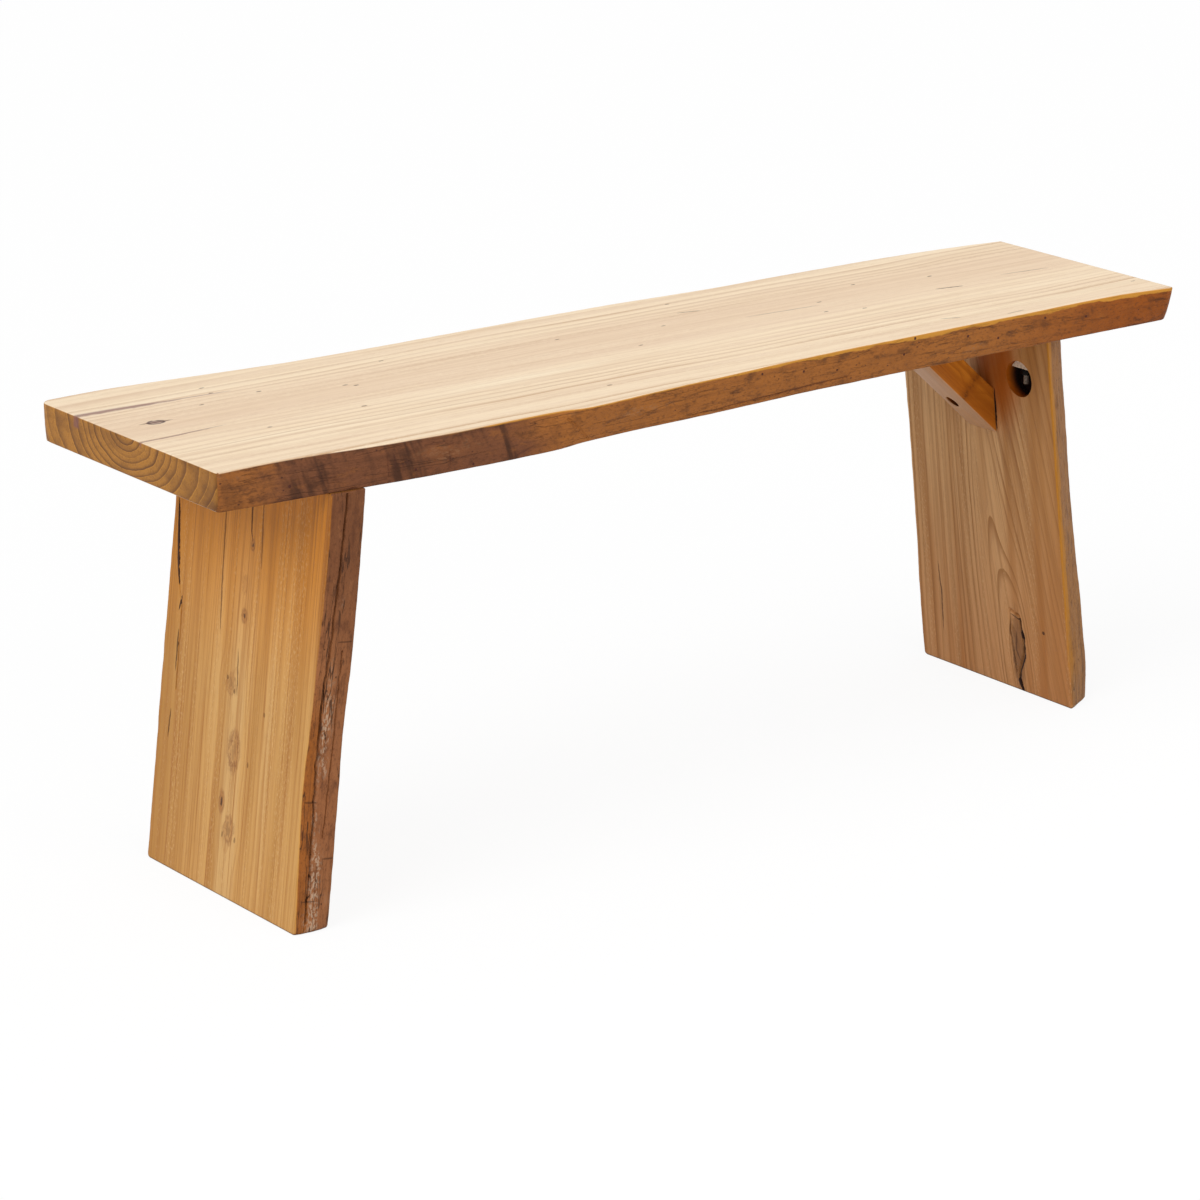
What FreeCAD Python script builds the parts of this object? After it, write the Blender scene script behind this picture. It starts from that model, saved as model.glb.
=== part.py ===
import FreeCAD, Part
import math
import os
from collections import namedtuple

# A live-edge bench: a thick slab on two splayed slab legs, each bolted up into the seat and braced.
# X runs along the seat, -Y is the front, Z is up, and the origin is on the floor under the middle.

os.makedirs("parts", exist_ok=True)

Vector = FreeCAD.Vector
UP = Vector(0, 0, 1)
LEFT = -1
RIGHT = 1

# Seat slab, in mm. Its width is measured across the widest points of both live edges.
SEAT_LENGTH = 1194.0
SEAT_WIDTH = 335.0
SEAT_HEIGHT = 460.0
SEAT_THICKNESS = 37.0
SEAT_WANE = 50.0
SEAT_CORNER = 4.0
SEAT_WORN_CORNER = 12.0
ARRIS = 2.0

# Slab legs. A setback runs from the seat's end to the foot's outer face, along the floor.
LEG_THICKNESS = 36.0
LEG_SPLAY_DEGREES = 6.8
LEG_WANE = 26.0
LEFT_FOOT_SETBACK = 66.0
LEFT_LEG_WIDTH = 267.0
LEFT_LEG_OFFSET = -30.0
RIGHT_FOOT_SETBACK = 63.0
RIGHT_LEG_WIDTH = 243.0
RIGHT_LEG_OFFSET = 0.0

# Braces: the reach runs from the inner corner along both the seat and the leg.
BRACE_REACH = 129.0
BRACE_DEPTH = 33.0
BRACE_WIDTH = 44.0
LEFT_BRACE_OFFSET = -10.0
RIGHT_BRACE_OFFSET = -4.0
BRACE_SCREW_SHARE = 0.267
BRACE_SCREW_OFFSET = 7.0

# Bolts that hold each leg up to the seat, one on each side of the brace.
BOLT_SPACING = 126.0
ACCESS_DIAMETER = 40.0
ACCESS_DROP = 59.0
ACCESS_BACK = 10.0
STUD_DIAMETER = 6.0
STUD_TAIL = 10.0
INSERT_DIAMETER = 12.0
INSERT_LENGTH = 18.0
INSERT_SPARE = 2.0
HALF_MOON_LENGTH = 11.0
HALF_MOON_RISE = 10.0
SPRING_WASHER_DIAMETER = 11.8
SPRING_WASHER_THICKNESS = 1.6
SPRING_WASHER_SLIT = 1.2
NUT_ACROSS_FLATS = 10.0
NUT_HEIGHT = 5.0

# Screws that hold the braces. The grip is the wood under the head, the cover the wood past the tip.
SCREW_DIAMETER = 5.0
SCREW_HEAD_DIAMETER = 11.0
SCREW_HEAD_HEIGHT = 4.0
SCREW_SOCKET_ACROSS_FLATS = 4.0
SCREW_SOCKET_DEPTH = 2.5
SCREW_TIP_LENGTH = 6.0
SCREW_TIP_DIAMETER = 1.0
SCREW_GRIP = 16.0
SCREW_COVER = 9.0

# Clearances on each side, and how far a cutting tool runs past the face that it opens.
THREAD_CLEARANCE = 0.1
BOLT_CLEARANCE = 0.5
HALF_MOON_CLEARANCE = 0.2
HEAD_CLEARANCE = 1.5
PILOT_SPARE = 1.0
CUT_OVERRUN = 5.0

# Live edges of the seat, left end to right end: place along the seat as a share of its length, then
# how far the upper and the lower arris fall back from the overall width, as shares of the wane.
SEAT_FRONT_SHARES = (
    (-0.50, 0.37, 0.37),
    (-0.44, 0.41, 0.28),
    (-0.345, 0.18, 0.10),
    (-0.28, 0.09, 0.03),
    (-0.19, 0.12, 0.06),
    (-0.16, 0.00, 0.18),
    (-0.10, 0.11, 0.28),
    (-0.02, 0.24, 0.34),
    (0.10, 0.41, 0.49),
    (0.32, 0.47, 0.52),
    (0.44, 0.49, 0.51),
    (0.50, 0.26, 0.50),
)
SEAT_BACK_SHARES = (
    (-0.50, 0.04, 0.10),
    (-0.44, 0.00, 0.08),
    (-0.35, 0.21, 0.28),
    (-0.26, 0.41, 0.45),
    (-0.05, 0.43, 0.50),
    (0.05, 0.44, 0.52),
    (0.155, 0.58, 0.62),
    (0.27, 0.60, 0.66),
    (0.38, 0.67, 0.72),
    (0.45, 0.81, 0.84),
    (0.50, 1.00, 1.00),
)

# Live edges of the legs, foot to top: height as a share of the blank, which is sawn flat at the floor
# and under the seat, then how far the front edge falls back at the outer and inner face, and the back
# edge likewise, as shares of the wane.
LEFT_LEG_SHARES = (
    (0.00, 0.18, 0.12, 0.00, 0.00),
    (0.17, 0.36, 0.12, 0.02, 0.03),
    (0.34, 0.47, 0.15, 0.03, 0.05),
    (0.48, 0.31, 0.17, 0.06, 0.06),
    (0.62, 0.25, 0.03, 0.08, 0.08),
    (0.80, 0.10, 0.00, 0.11, 0.10),
    (1.00, 0.15, 0.08, 0.13, 0.12),
)
RIGHT_LEG_SHARES = (
    (0.00, 0.72, 0.00, 0.30, 0.05),
    (0.11, 0.56, 0.03, 0.26, 0.00),
    (0.22, 0.62, 0.06, 0.24, 0.02),
    (0.36, 0.75, 0.09, 0.25, 0.09),
    (0.62, 0.94, 0.15, 0.28, 0.11),
    (0.80, 0.95, 0.17, 0.28, 0.08),
    (1.00, 0.99, 0.20, 0.26, 0.10),
)

Leg = namedtuple("Leg", "name side setback width offset brace_offset edge_shares")
LEGS = (
    Leg("left", LEFT, LEFT_FOOT_SETBACK, LEFT_LEG_WIDTH, LEFT_LEG_OFFSET,
        LEFT_BRACE_OFFSET, LEFT_LEG_SHARES),
    Leg("right", RIGHT, RIGHT_FOOT_SETBACK, RIGHT_LEG_WIDTH, RIGHT_LEG_OFFSET,
        RIGHT_BRACE_OFFSET, RIGHT_LEG_SHARES),
)

# Places that follow from the sizes above.
SPLAY = math.radians(LEG_SPLAY_DEGREES)
UNDERSIDE = SEAT_HEIGHT - SEAT_THICKNESS
ACCESS_RADIUS = ACCESS_DIAMETER / 2
ACCESS_HEIGHT = UNDERSIDE - ACCESS_DROP
CHORD_HEIGHT = ACCESS_HEIGHT + HALF_MOON_RISE
NUT_TOP = CHORD_HEIGHT - SPRING_WASHER_THICKNESS
STUD_BOTTOM = NUT_TOP - NUT_HEIGHT - STUD_TAIL
BRACE_ANGLE = math.pi / 4 - SPLAY / 2
BRACE_INNER_REACH = BRACE_REACH - BRACE_DEPTH / math.sin(BRACE_ANGLE)
BRACE_LENGTH = 2 * BRACE_REACH * math.cos(BRACE_ANGLE)
SCREW_BITE = min(LEG_THICKNESS, SEAT_THICKNESS) - SCREW_COVER
SCREW_LENGTH = SCREW_GRIP + SCREW_BITE
SCREW_RADIUS = SCREW_DIAMETER / 2
STUD_HOLE_RADIUS = STUD_DIAMETER / 2 + BOLT_CLEARANCE
STUD_THREAD_RADIUS = STUD_DIAMETER / 2 + THREAD_CLEARANCE


def between(start, end, share):
    return start + (end - start) * share


def spline_edge(points):
    curve = Part.BSplineCurve()
    curve.interpolate(points)
    return curve.toShape()


def line_edge(start, end):
    return Part.makeLine(start, end)


def loft_solid(outlines):
    solid = Part.makeLoft(outlines, True, True)
    if solid.Volume < 0:
        solid.reverse()
    return solid


def hexagon_prism(across_flats, height):
    corner = across_flats / 2 / math.cos(math.pi / 6)
    angles = [math.pi / 3 * index for index in range(7)]
    points = [Vector(corner * math.cos(angle), corner * math.sin(angle), 0) for angle in angles]
    return Part.Face(Part.makePolygon(points)).extrude(UP * height)


def leg_reach(leg, depth, height):
    """Distance from the bench's middle to a leg's slab, at a depth behind its outer face."""
    return SEAT_LENGTH / 2 - leg.setback - depth / math.cos(SPLAY) - height * math.tan(SPLAY)


def seat_outline(height, arris, ease):
    """Outline of the seat at one height; arris is 1 for the upper shares and 2 for the lower ones."""
    end = SEAT_LENGTH / 2 - ease
    half_width = SEAT_WIDTH / 2 - ease

    def live_edge(shares, y_side, left_radius, right_radius):
        points = []
        for row in shares:
            x = max(left_radius - end, min(end - right_radius, row[0] * SEAT_LENGTH))
            points.append(Vector(x, y_side * (half_width - row[arris] * SEAT_WANE), height))
        return points

    def corner(edge_point, x_side, y_side, radius):
        """Round corner from the end of a live edge to the sawn end."""
        near = radius * (1 - math.sqrt(0.5))
        middle = Vector(x_side * (end - near), edge_point.y - y_side * near, height)
        last = Vector(x_side * end, edge_point.y - y_side * radius, height)
        return edge_point, middle, last

    front = live_edge(SEAT_FRONT_SHARES, -1, SEAT_CORNER, SEAT_WORN_CORNER)
    back = live_edge(SEAT_BACK_SHARES, 1, SEAT_WORN_CORNER, SEAT_CORNER)
    front_left = corner(front[0], LEFT, -1, SEAT_CORNER)
    front_right = corner(front[-1], RIGHT, -1, SEAT_WORN_CORNER)
    back_left = corner(back[0], LEFT, 1, SEAT_WORN_CORNER)
    back_right = corner(back[-1], RIGHT, 1, SEAT_CORNER)
    return Part.Wire([
        spline_edge(front),
        Part.Arc(*front_right).toShape(),
        line_edge(front_right[-1], back_right[-1]),
        Part.Arc(*reversed(back_right)).toShape(),
        spline_edge(back[::-1]),
        Part.Arc(*back_left).toShape(),
        line_edge(back_left[-1], front_left[-1]),
        Part.Arc(*reversed(front_left)).toShape(),
    ])


def leg_outline(leg, depth, ease):
    """Outline of a leg's blank at a depth behind its outer face, in the leaning plane of that face."""
    share = depth / LEG_THICKNESS

    def place(row, column, y_side):
        height = between(-CUT_OVERRUN, UNDERSIDE + CUT_OVERRUN, row[0])
        wane = LEG_WANE * between(row[column], row[column + 1], share)
        y = leg.offset + y_side * (leg.width / 2 - wane - ease)
        return Vector(leg.side * leg_reach(leg, depth, height), y, height)

    front = [place(row, 1, -1) for row in leg.edge_shares]
    back = [place(row, 3, 1) for row in leg.edge_shares]
    return Part.Wire([
        line_edge(front[0], back[0]),
        spline_edge(back),
        line_edge(back[-1], front[-1]),
        spline_edge(front[::-1]),
    ])


def bolt_places(leg):
    """Name and middle line of each bolt of a leg, up the middle of the leg's top."""
    x = leg_reach(leg, LEG_THICKNESS / 2, UNDERSIDE)
    for end, y_side in (("front", -1), ("back", 1)):
        y = leg.brace_offset + y_side * BOLT_SPACING / 2
        yield leg.name + "_" + end, Vector(leg.side * x, y, 0)


def at_height(point, height):
    return Vector(point.x, point.y, height)


def brace_corner(leg):
    """Inner corner where the leg's face meets the seat, and the ways along seat, leg and into each."""
    x = leg_reach(leg, LEG_THICKNESS, UNDERSIDE)
    corner = Vector(leg.side * x, leg.brace_offset, UNDERSIDE)
    along_seat = Vector(-leg.side, 0, 0)
    along_leg = Vector(leg.side * math.sin(SPLAY), 0, -math.cos(SPLAY))
    into_leg = Vector(leg.side * math.cos(SPLAY), 0, math.sin(SPLAY))
    return corner, along_seat, along_leg, into_leg


def brace_screw_lines(leg):
    """Name of each brace screw, the point where it crosses the brace's mitre, and its direction."""
    corner, along_seat, along_leg, into_leg = brace_corner(leg)
    corner += Vector(0, BRACE_SCREW_OFFSET, 0)
    reach = BRACE_REACH - BRACE_SCREW_SHARE * BRACE_LENGTH * math.cos(BRACE_ANGLE)
    yield leg.name + "_brace_leg_screw", corner + along_leg * reach, into_leg
    yield leg.name + "_brace_seat_screw", corner + along_seat * reach, UP


def bore(point, direction, radius, before, after):
    """Round cutter along a direction, from before the point to after it."""
    return Part.makeCylinder(radius, before + after, point - direction * before, direction)


def make_seat():
    seat = loft_solid([
        seat_outline(UNDERSIDE, 2, ARRIS),
        seat_outline(UNDERSIDE + ARRIS, 2, 0),
        seat_outline(SEAT_HEIGHT - ARRIS, 1, 0),
        seat_outline(SEAT_HEIGHT, 1, ARRIS),
    ])
    for leg in LEGS:
        for _, place in bolt_places(leg):
            mouth = at_height(place, UNDERSIDE)
            radius = INSERT_DIAMETER / 2 + THREAD_CLEARANCE
            seat = seat.cut(bore(mouth, UP, radius, CUT_OVERRUN, INSERT_LENGTH + INSERT_SPARE))
        for name, point, direction in brace_screw_lines(leg):
            if name.endswith("seat_screw"):
                seat = seat.cut(pilot_hole(point, direction))
    return seat


def pilot_hole(point, direction):
    return bore(point, direction, SCREW_RADIUS + THREAD_CLEARANCE, CUT_OVERRUN, SCREW_BITE + PILOT_SPARE)


def make_leg(leg):
    body = loft_solid([
        leg_outline(leg, 0, ARRIS),
        leg_outline(leg, ARRIS, 0),
        leg_outline(leg, LEG_THICKNESS - ARRIS, 0),
        leg_outline(leg, LEG_THICKNESS, ARRIS),
    ])
    corner = Vector(-SEAT_LENGTH / 2, -SEAT_WIDTH, 0)
    body = body.common(Part.makeBox(SEAT_LENGTH, SEAT_WIDTH * 2, UNDERSIDE, corner))
    outwards = Vector(leg.side, 0, 0)
    for _, place in bolt_places(leg):
        middle = at_height(place, ACCESS_HEIGHT)
        body = body.cut(bore(middle, outwards, ACCESS_RADIUS, LEG_THICKNESS, ACCESS_BACK))
        body = body.cut(bore(middle, UP, STUD_HOLE_RADIUS, 0, ACCESS_DROP + CUT_OVERRUN))
    for name, point, direction in brace_screw_lines(leg):
        if name.endswith("leg_screw"):
            body = body.cut(pilot_hole(point, direction))
    return body


def make_brace(leg):
    corner, along_seat, along_leg, _ = brace_corner(leg)
    side_step = Vector(0, BRACE_WIDTH / 2, 0)
    outline = [
        corner + along_seat * BRACE_REACH - side_step,
        corner + along_leg * BRACE_REACH - side_step,
        corner + along_leg * BRACE_INNER_REACH - side_step,
        corner + along_seat * BRACE_INNER_REACH - side_step,
    ]
    brace = Part.Face(Part.makePolygon(outline + outline[:1])).extrude(side_step * 2)
    counterbore = SCREW_HEAD_DIAMETER / 2 + HEAD_CLEARANCE
    shank_hole = SCREW_RADIUS + BOLT_CLEARANCE
    for _, point, direction in brace_screw_lines(leg):
        seat_point = point - direction * SCREW_GRIP
        brace = brace.cut(bore(seat_point, direction, counterbore, BRACE_LENGTH, 0))
        brace = brace.cut(bore(seat_point, direction, shank_hole, CUT_OVERRUN, SCREW_GRIP + CUT_OVERRUN))
    return brace


def make_insert(place):
    mouth = at_height(place, UNDERSIDE)
    sleeve = bore(mouth, UP, INSERT_DIAMETER / 2, 0, INSERT_LENGTH)
    return sleeve.cut(bore(mouth, UP, STUD_THREAD_RADIUS, CUT_OVERRUN, INSERT_LENGTH + CUT_OVERRUN))


def make_stud(place):
    bottom = at_height(place, STUD_BOTTOM)
    return bore(bottom, UP, STUD_DIAMETER / 2, 0, UNDERSIDE + INSERT_LENGTH - STUD_BOTTOM)


def make_half_moon(place):
    """Washer with a round back that fits the access hole and a flat below for the nut."""
    middle = at_height(place, ACCESS_HEIGHT)
    along = Vector(1, 0, 0)
    half_length = HALF_MOON_LENGTH / 2
    radius = ACCESS_RADIUS - HALF_MOON_CLEARANCE
    disc = bore(middle, along, radius, half_length, half_length)
    corner = Vector(place.x - HALF_MOON_LENGTH, place.y - ACCESS_DIAMETER, CHORD_HEIGHT - ACCESS_DIAMETER)
    below = Part.makeBox(HALF_MOON_LENGTH * 2, ACCESS_DIAMETER * 2, ACCESS_DIAMETER, corner)
    return disc.cut(below).cut(bore(middle, UP, STUD_HOLE_RADIUS, 0, ACCESS_DIAMETER))


def make_spring_washer(place):
    under = at_height(place, NUT_TOP)
    ring = bore(under, UP, SPRING_WASHER_DIAMETER / 2, 0, SPRING_WASHER_THICKNESS)
    ring = ring.cut(bore(under, UP, STUD_THREAD_RADIUS, CUT_OVERRUN, SPRING_WASHER_THICKNESS + CUT_OVERRUN))
    slit_corner = Vector(place.x - SPRING_WASHER_SLIT / 2, place.y, NUT_TOP - CUT_OVERRUN)
    return ring.cut(Part.makeBox(SPRING_WASHER_SLIT, SPRING_WASHER_DIAMETER, CUT_OVERRUN * 2, slit_corner))


def make_nut(place):
    bottom = at_height(place, NUT_TOP - NUT_HEIGHT)
    nut = hexagon_prism(NUT_ACROSS_FLATS, NUT_HEIGHT)
    nut.translate(bottom)
    return nut.cut(bore(bottom, UP, STUD_THREAD_RADIUS, CUT_OVERRUN, NUT_HEIGHT + CUT_OVERRUN))


def make_screw(point, direction):
    """Wood screw with a flat round head; the point is where it leaves the brace."""
    head = Part.makeCylinder(SCREW_HEAD_DIAMETER / 2, SCREW_HEAD_HEIGHT, Vector(0, 0, -SCREW_HEAD_HEIGHT))
    shank_length = SCREW_LENGTH - SCREW_TIP_LENGTH
    shank = Part.makeCylinder(SCREW_RADIUS, shank_length)
    tip = Part.makeCone(SCREW_RADIUS, SCREW_TIP_DIAMETER / 2, SCREW_TIP_LENGTH, Vector(0, 0, shank_length))
    socket = hexagon_prism(SCREW_SOCKET_ACROSS_FLATS, SCREW_SOCKET_DEPTH + CUT_OVERRUN)
    socket.translate(Vector(0, 0, -SCREW_HEAD_HEIGHT - CUT_OVERRUN))
    screw = head.fuse([shank, tip]).cut(socket).removeSplitter()
    screw.Placement = FreeCAD.Placement(point - direction * SCREW_GRIP, FreeCAD.Rotation(UP, direction))
    return screw


def write_piece(name, shape):
    solids = shape.Solids
    if len(solids) != 1 or not shape.isValid():
        raise ValueError(name + " is not one valid solid")
    solids[0].exportStep("parts/" + name + ".step")
    box = solids[0].BoundBox
    print(name, round(solids[0].Volume), "mm3", [round(v, 1) for v in (box.XLength, box.YLength, box.ZLength)])


write_piece("seat_slab", make_seat())
for leg in LEGS:
    write_piece(leg.name + "_leg", make_leg(leg))
    write_piece(leg.name + "_brace", make_brace(leg))
    for name, point, direction in brace_screw_lines(leg):
        write_piece(name, make_screw(point, direction))
    for name, place in bolt_places(leg):
        write_piece(name + "_insert", make_insert(place))
        write_piece(name + "_stud", make_stud(place))
        write_piece(name + "_half_moon", make_half_moon(place))
        write_piece(name + "_spring_washer", make_spring_washer(place))
        write_piece(name + "_nut", make_nut(place))
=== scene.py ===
"""Looks of a live-edge dining bench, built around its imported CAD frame.

Lengths are in metres unless a name says mm. X runs along the seat, -Y is the front and Z is up.
"""
import logging
import math
from dataclasses import dataclass, replace
from enum import Enum
from functools import lru_cache, reduce
from typing import Optional, Union

import bmesh
import bpy
from mathutils import Matrix, Vector, noise


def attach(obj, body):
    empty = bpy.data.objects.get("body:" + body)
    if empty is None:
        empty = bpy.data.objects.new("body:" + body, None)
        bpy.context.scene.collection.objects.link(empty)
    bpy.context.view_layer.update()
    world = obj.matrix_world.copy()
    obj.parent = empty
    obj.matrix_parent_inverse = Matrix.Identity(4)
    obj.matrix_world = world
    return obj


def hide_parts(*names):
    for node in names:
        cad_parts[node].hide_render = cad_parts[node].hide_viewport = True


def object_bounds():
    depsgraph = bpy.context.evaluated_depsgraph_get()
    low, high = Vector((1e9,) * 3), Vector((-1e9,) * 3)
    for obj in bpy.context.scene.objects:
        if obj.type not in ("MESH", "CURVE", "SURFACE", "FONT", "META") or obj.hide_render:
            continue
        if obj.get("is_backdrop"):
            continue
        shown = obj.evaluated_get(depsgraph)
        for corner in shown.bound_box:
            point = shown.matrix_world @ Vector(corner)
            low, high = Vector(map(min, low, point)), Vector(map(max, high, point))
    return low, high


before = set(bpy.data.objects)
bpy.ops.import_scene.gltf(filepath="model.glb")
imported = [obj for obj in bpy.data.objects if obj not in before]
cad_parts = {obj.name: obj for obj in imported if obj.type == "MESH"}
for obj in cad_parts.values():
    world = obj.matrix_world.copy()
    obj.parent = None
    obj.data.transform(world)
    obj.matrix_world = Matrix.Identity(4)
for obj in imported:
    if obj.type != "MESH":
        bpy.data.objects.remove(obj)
CAD_LOW, CAD_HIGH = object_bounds()

log = logging.getLogger("bench")

Colour = tuple[float, float, float, float]
Rows = tuple[tuple[float, ...], ...]
Point2 = tuple[float, float]
Point3 = tuple[float, float, float]

BODY = "root"
MM = 0.001
UP = Vector((0, 0, 1))
BACKWARDS = Vector((0, 1, 0))

# Farther from any board than its marks and changes of colour reach, in mm.
FAR = 1e5

# Into how many cells the boards' sides are cut, coarse and then fine.
SEAT_CELLS = ((20, 40), (24,), (18,))
LEG_CELLS = ((10, 20), (9, 10), (16,))

# A cutter stands this far out of the face it enters. A point this near a face counts as lying on it.
OVERSHOOT = 5 * MM
ON_FACE = 0.1 * MM
BORE_SIDES = 48

# An edge runs along an axis if it is longer there than this many arrises and this share of its length.
LONG_EDGE = 1.1
STRAIGHT = 0.999

# Faces that meet at more than this are shaded apart.
SHARP_ANGLE = math.radians(38)

# A carved crack wanders by this share of its width, in this many waves to a metre.
CRACK_WANDER = 0.8
CRACK_WAVES = 90
CRACK_SEED = 5.0

# Waves of a live edge, in waves to a metre along it and up it. The fine ones have octaves with this fall,
# step and count, and lie this far from the broad ones.
BROAD_WAVES = (16, 45)
FINE_WAVES = (55, 120)
FINE_OCTAVES = (0.9, 2.1, 4)
FINE_SHIFT = 3.0

# Sizes shared with the CAD source.
SEAT_LENGTH = 1.194
SEAT_WIDTH = 0.335
SEAT_TOP = 0.460
SEAT_THICKNESS = 0.037
SEAT_WANE = 0.050
UNDERSIDE = SEAT_TOP - SEAT_THICKNESS
LEG_THICKNESS = 0.036
LEG_WANE = 0.026
LEFT_LEG_WIDTH = 0.267
RIGHT_LEG_WIDTH = 0.243
SPLAY = math.radians(6.8)
BRACE_REACH = 0.129
BRACE_DEPTH = 0.033
BRACE_WIDTH = 0.044
BRACE_ANGLE = math.pi / 4 - SPLAY / 2
BRACE_LENGTH = 2 * BRACE_REACH * math.cos(BRACE_ANGLE)
BOLT_SPACING = 0.126
ACCESS_DIAMETER = 0.040
ACCESS_HEIGHT = UNDERSIDE - 0.059
ACCESS_BACK = 0.010
STUD_HOLE = 0.007
INSERT_HOLE = 0.0122
INSERT_DEPTH = 0.020
PILOT_HOLE = 0.0052
PILOT_DEPTH = 0.028
COUNTERBORE = 0.014
SHANK_HOLE = 0.006
SCREW_GRIP = 0.016
SCREW_OFFSET = 0.007
SCREW_REACH = BRACE_REACH - 0.267 * BRACE_LENGTH * math.cos(BRACE_ANGLE)

# Live edges of the seat, left to right: place along the seat as a share of its length, then how far
# the upper and the lower arris fall back from the overall width, as shares of the wane.
SEAT_FRONT_SHARES: Rows = (
    (-0.50, 0.37, 0.37),
    (-0.44, 0.41, 0.28),
    (-0.345, 0.18, 0.10),
    (-0.28, 0.09, 0.03),
    (-0.19, 0.12, 0.06),
    (-0.16, 0.00, 0.18),
    (-0.10, 0.11, 0.28),
    (-0.02, 0.24, 0.34),
    (0.10, 0.41, 0.49),
    (0.32, 0.47, 0.52),
    (0.44, 0.49, 0.51),
    (0.50, 0.26, 0.50),
)
SEAT_BACK_SHARES: Rows = (
    (-0.50, 0.04, 0.10),
    (-0.44, 0.00, 0.08),
    (-0.35, 0.21, 0.28),
    (-0.26, 0.41, 0.45),
    (-0.05, 0.43, 0.50),
    (0.05, 0.44, 0.52),
    (0.155, 0.58, 0.62),
    (0.27, 0.60, 0.66),
    (0.38, 0.67, 0.72),
    (0.45, 0.81, 0.84),
    (0.50, 1.00, 1.00),
)

# Live edges of the legs, foot to top: height as a share of the leg's, then how far the front edge
# falls back at the outer and inner face, and the back edge likewise, as shares of the wane.
LEFT_LEG_SHARES: Rows = (
    (0.00, 0.18, 0.12, 0.00, 0.00),
    (0.17, 0.36, 0.12, 0.02, 0.03),
    (0.34, 0.47, 0.15, 0.03, 0.05),
    (0.48, 0.31, 0.17, 0.06, 0.06),
    (0.62, 0.25, 0.03, 0.08, 0.08),
    (0.80, 0.10, 0.00, 0.11, 0.10),
    (1.00, 0.15, 0.08, 0.13, 0.12),
)
RIGHT_LEG_SHARES: Rows = (
    (0.00, 0.72, 0.00, 0.30, 0.05),
    (0.11, 0.56, 0.03, 0.26, 0.00),
    (0.22, 0.62, 0.06, 0.24, 0.02),
    (0.36, 0.75, 0.09, 0.25, 0.09),
    (0.62, 0.94, 0.15, 0.28, 0.11),
    (0.80, 0.95, 0.17, 0.28, 0.08),
    (1.00, 0.99, 0.20, 0.26, 0.10),
)

# The edge and end marks on a board's vertices count mm from this far inside an arris.
ARRIS_MARK = 10.0


class Side(Enum):
    """Which end of the bench a leg stands at."""

    LEFT = -1
    RIGHT = 1


class Face(Enum):
    """Which faces of a board a mark lies on."""

    FLAT = "flat"
    EDGE = "edge"


def tint(red: int, green: int, blue: int) -> Colour:
    """Linear colour of an 8-bit sRGB one.

    Args:
        red, green, blue: channels from 0 to 255.

    Returns:
        The colour as a node socket takes it.
    """
    def linear(channel: int) -> float:
        """One channel, linear."""
        share = channel / 255
        return share / 12.92 if share <= 0.04045 else ((share + 0.055) / 1.055) ** 2.4

    return linear(red), linear(green), linear(blue), 1.0


@lru_cache(maxsize=None)
def on_curve(rows: Rows, place: float, column: int) -> float:
    """Value of one column of a table, on a smooth curve through its rows.

    Args:
        rows: table whose first column rises.
        place: where along the first column.
        column: the column to read.

    Returns:
        The value there, held at the ends.
    """
    last = len(rows) - 1
    place = max(rows[0][0], min(rows[last][0], place))
    index = max(i for i in range(last) if rows[i][0] <= place)

    def slope(row: int) -> float:
        """Slope of the curve at one row."""
        low, high = max(0, row - 1), min(last, row + 1)
        return (rows[high][column] - rows[low][column]) / (rows[high][0] - rows[low][0])

    span = rows[index + 1][0] - rows[index][0]
    t = (place - rows[index][0]) / span
    start, end = rows[index][column], rows[index + 1][column]
    rise = (3 - 2 * t) * t * t
    return (start + (end - start) * rise + span * slope(index) * t * (1 - t) ** 2
            - span * slope(index + 1) * t * t * (1 - t))


def distance_to_path(path: tuple[Point2, ...], place: Point2) -> float:
    """Shortest distance from a place to a run of straight lines.

    Args:
        path: the points of the run.
        place: the place to measure from.

    Returns:
        The distance.
    """
    best = math.inf
    spot = Vector(place)
    for start, end in zip(path, path[1:]):
        run = Vector(end) - Vector(start)
        share = max(0.0, min(1.0, (spot - Vector(start)).dot(run) / run.length_squared))
        best = min(best, (spot - Vector(start) - run * share).length)
    return best


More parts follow.
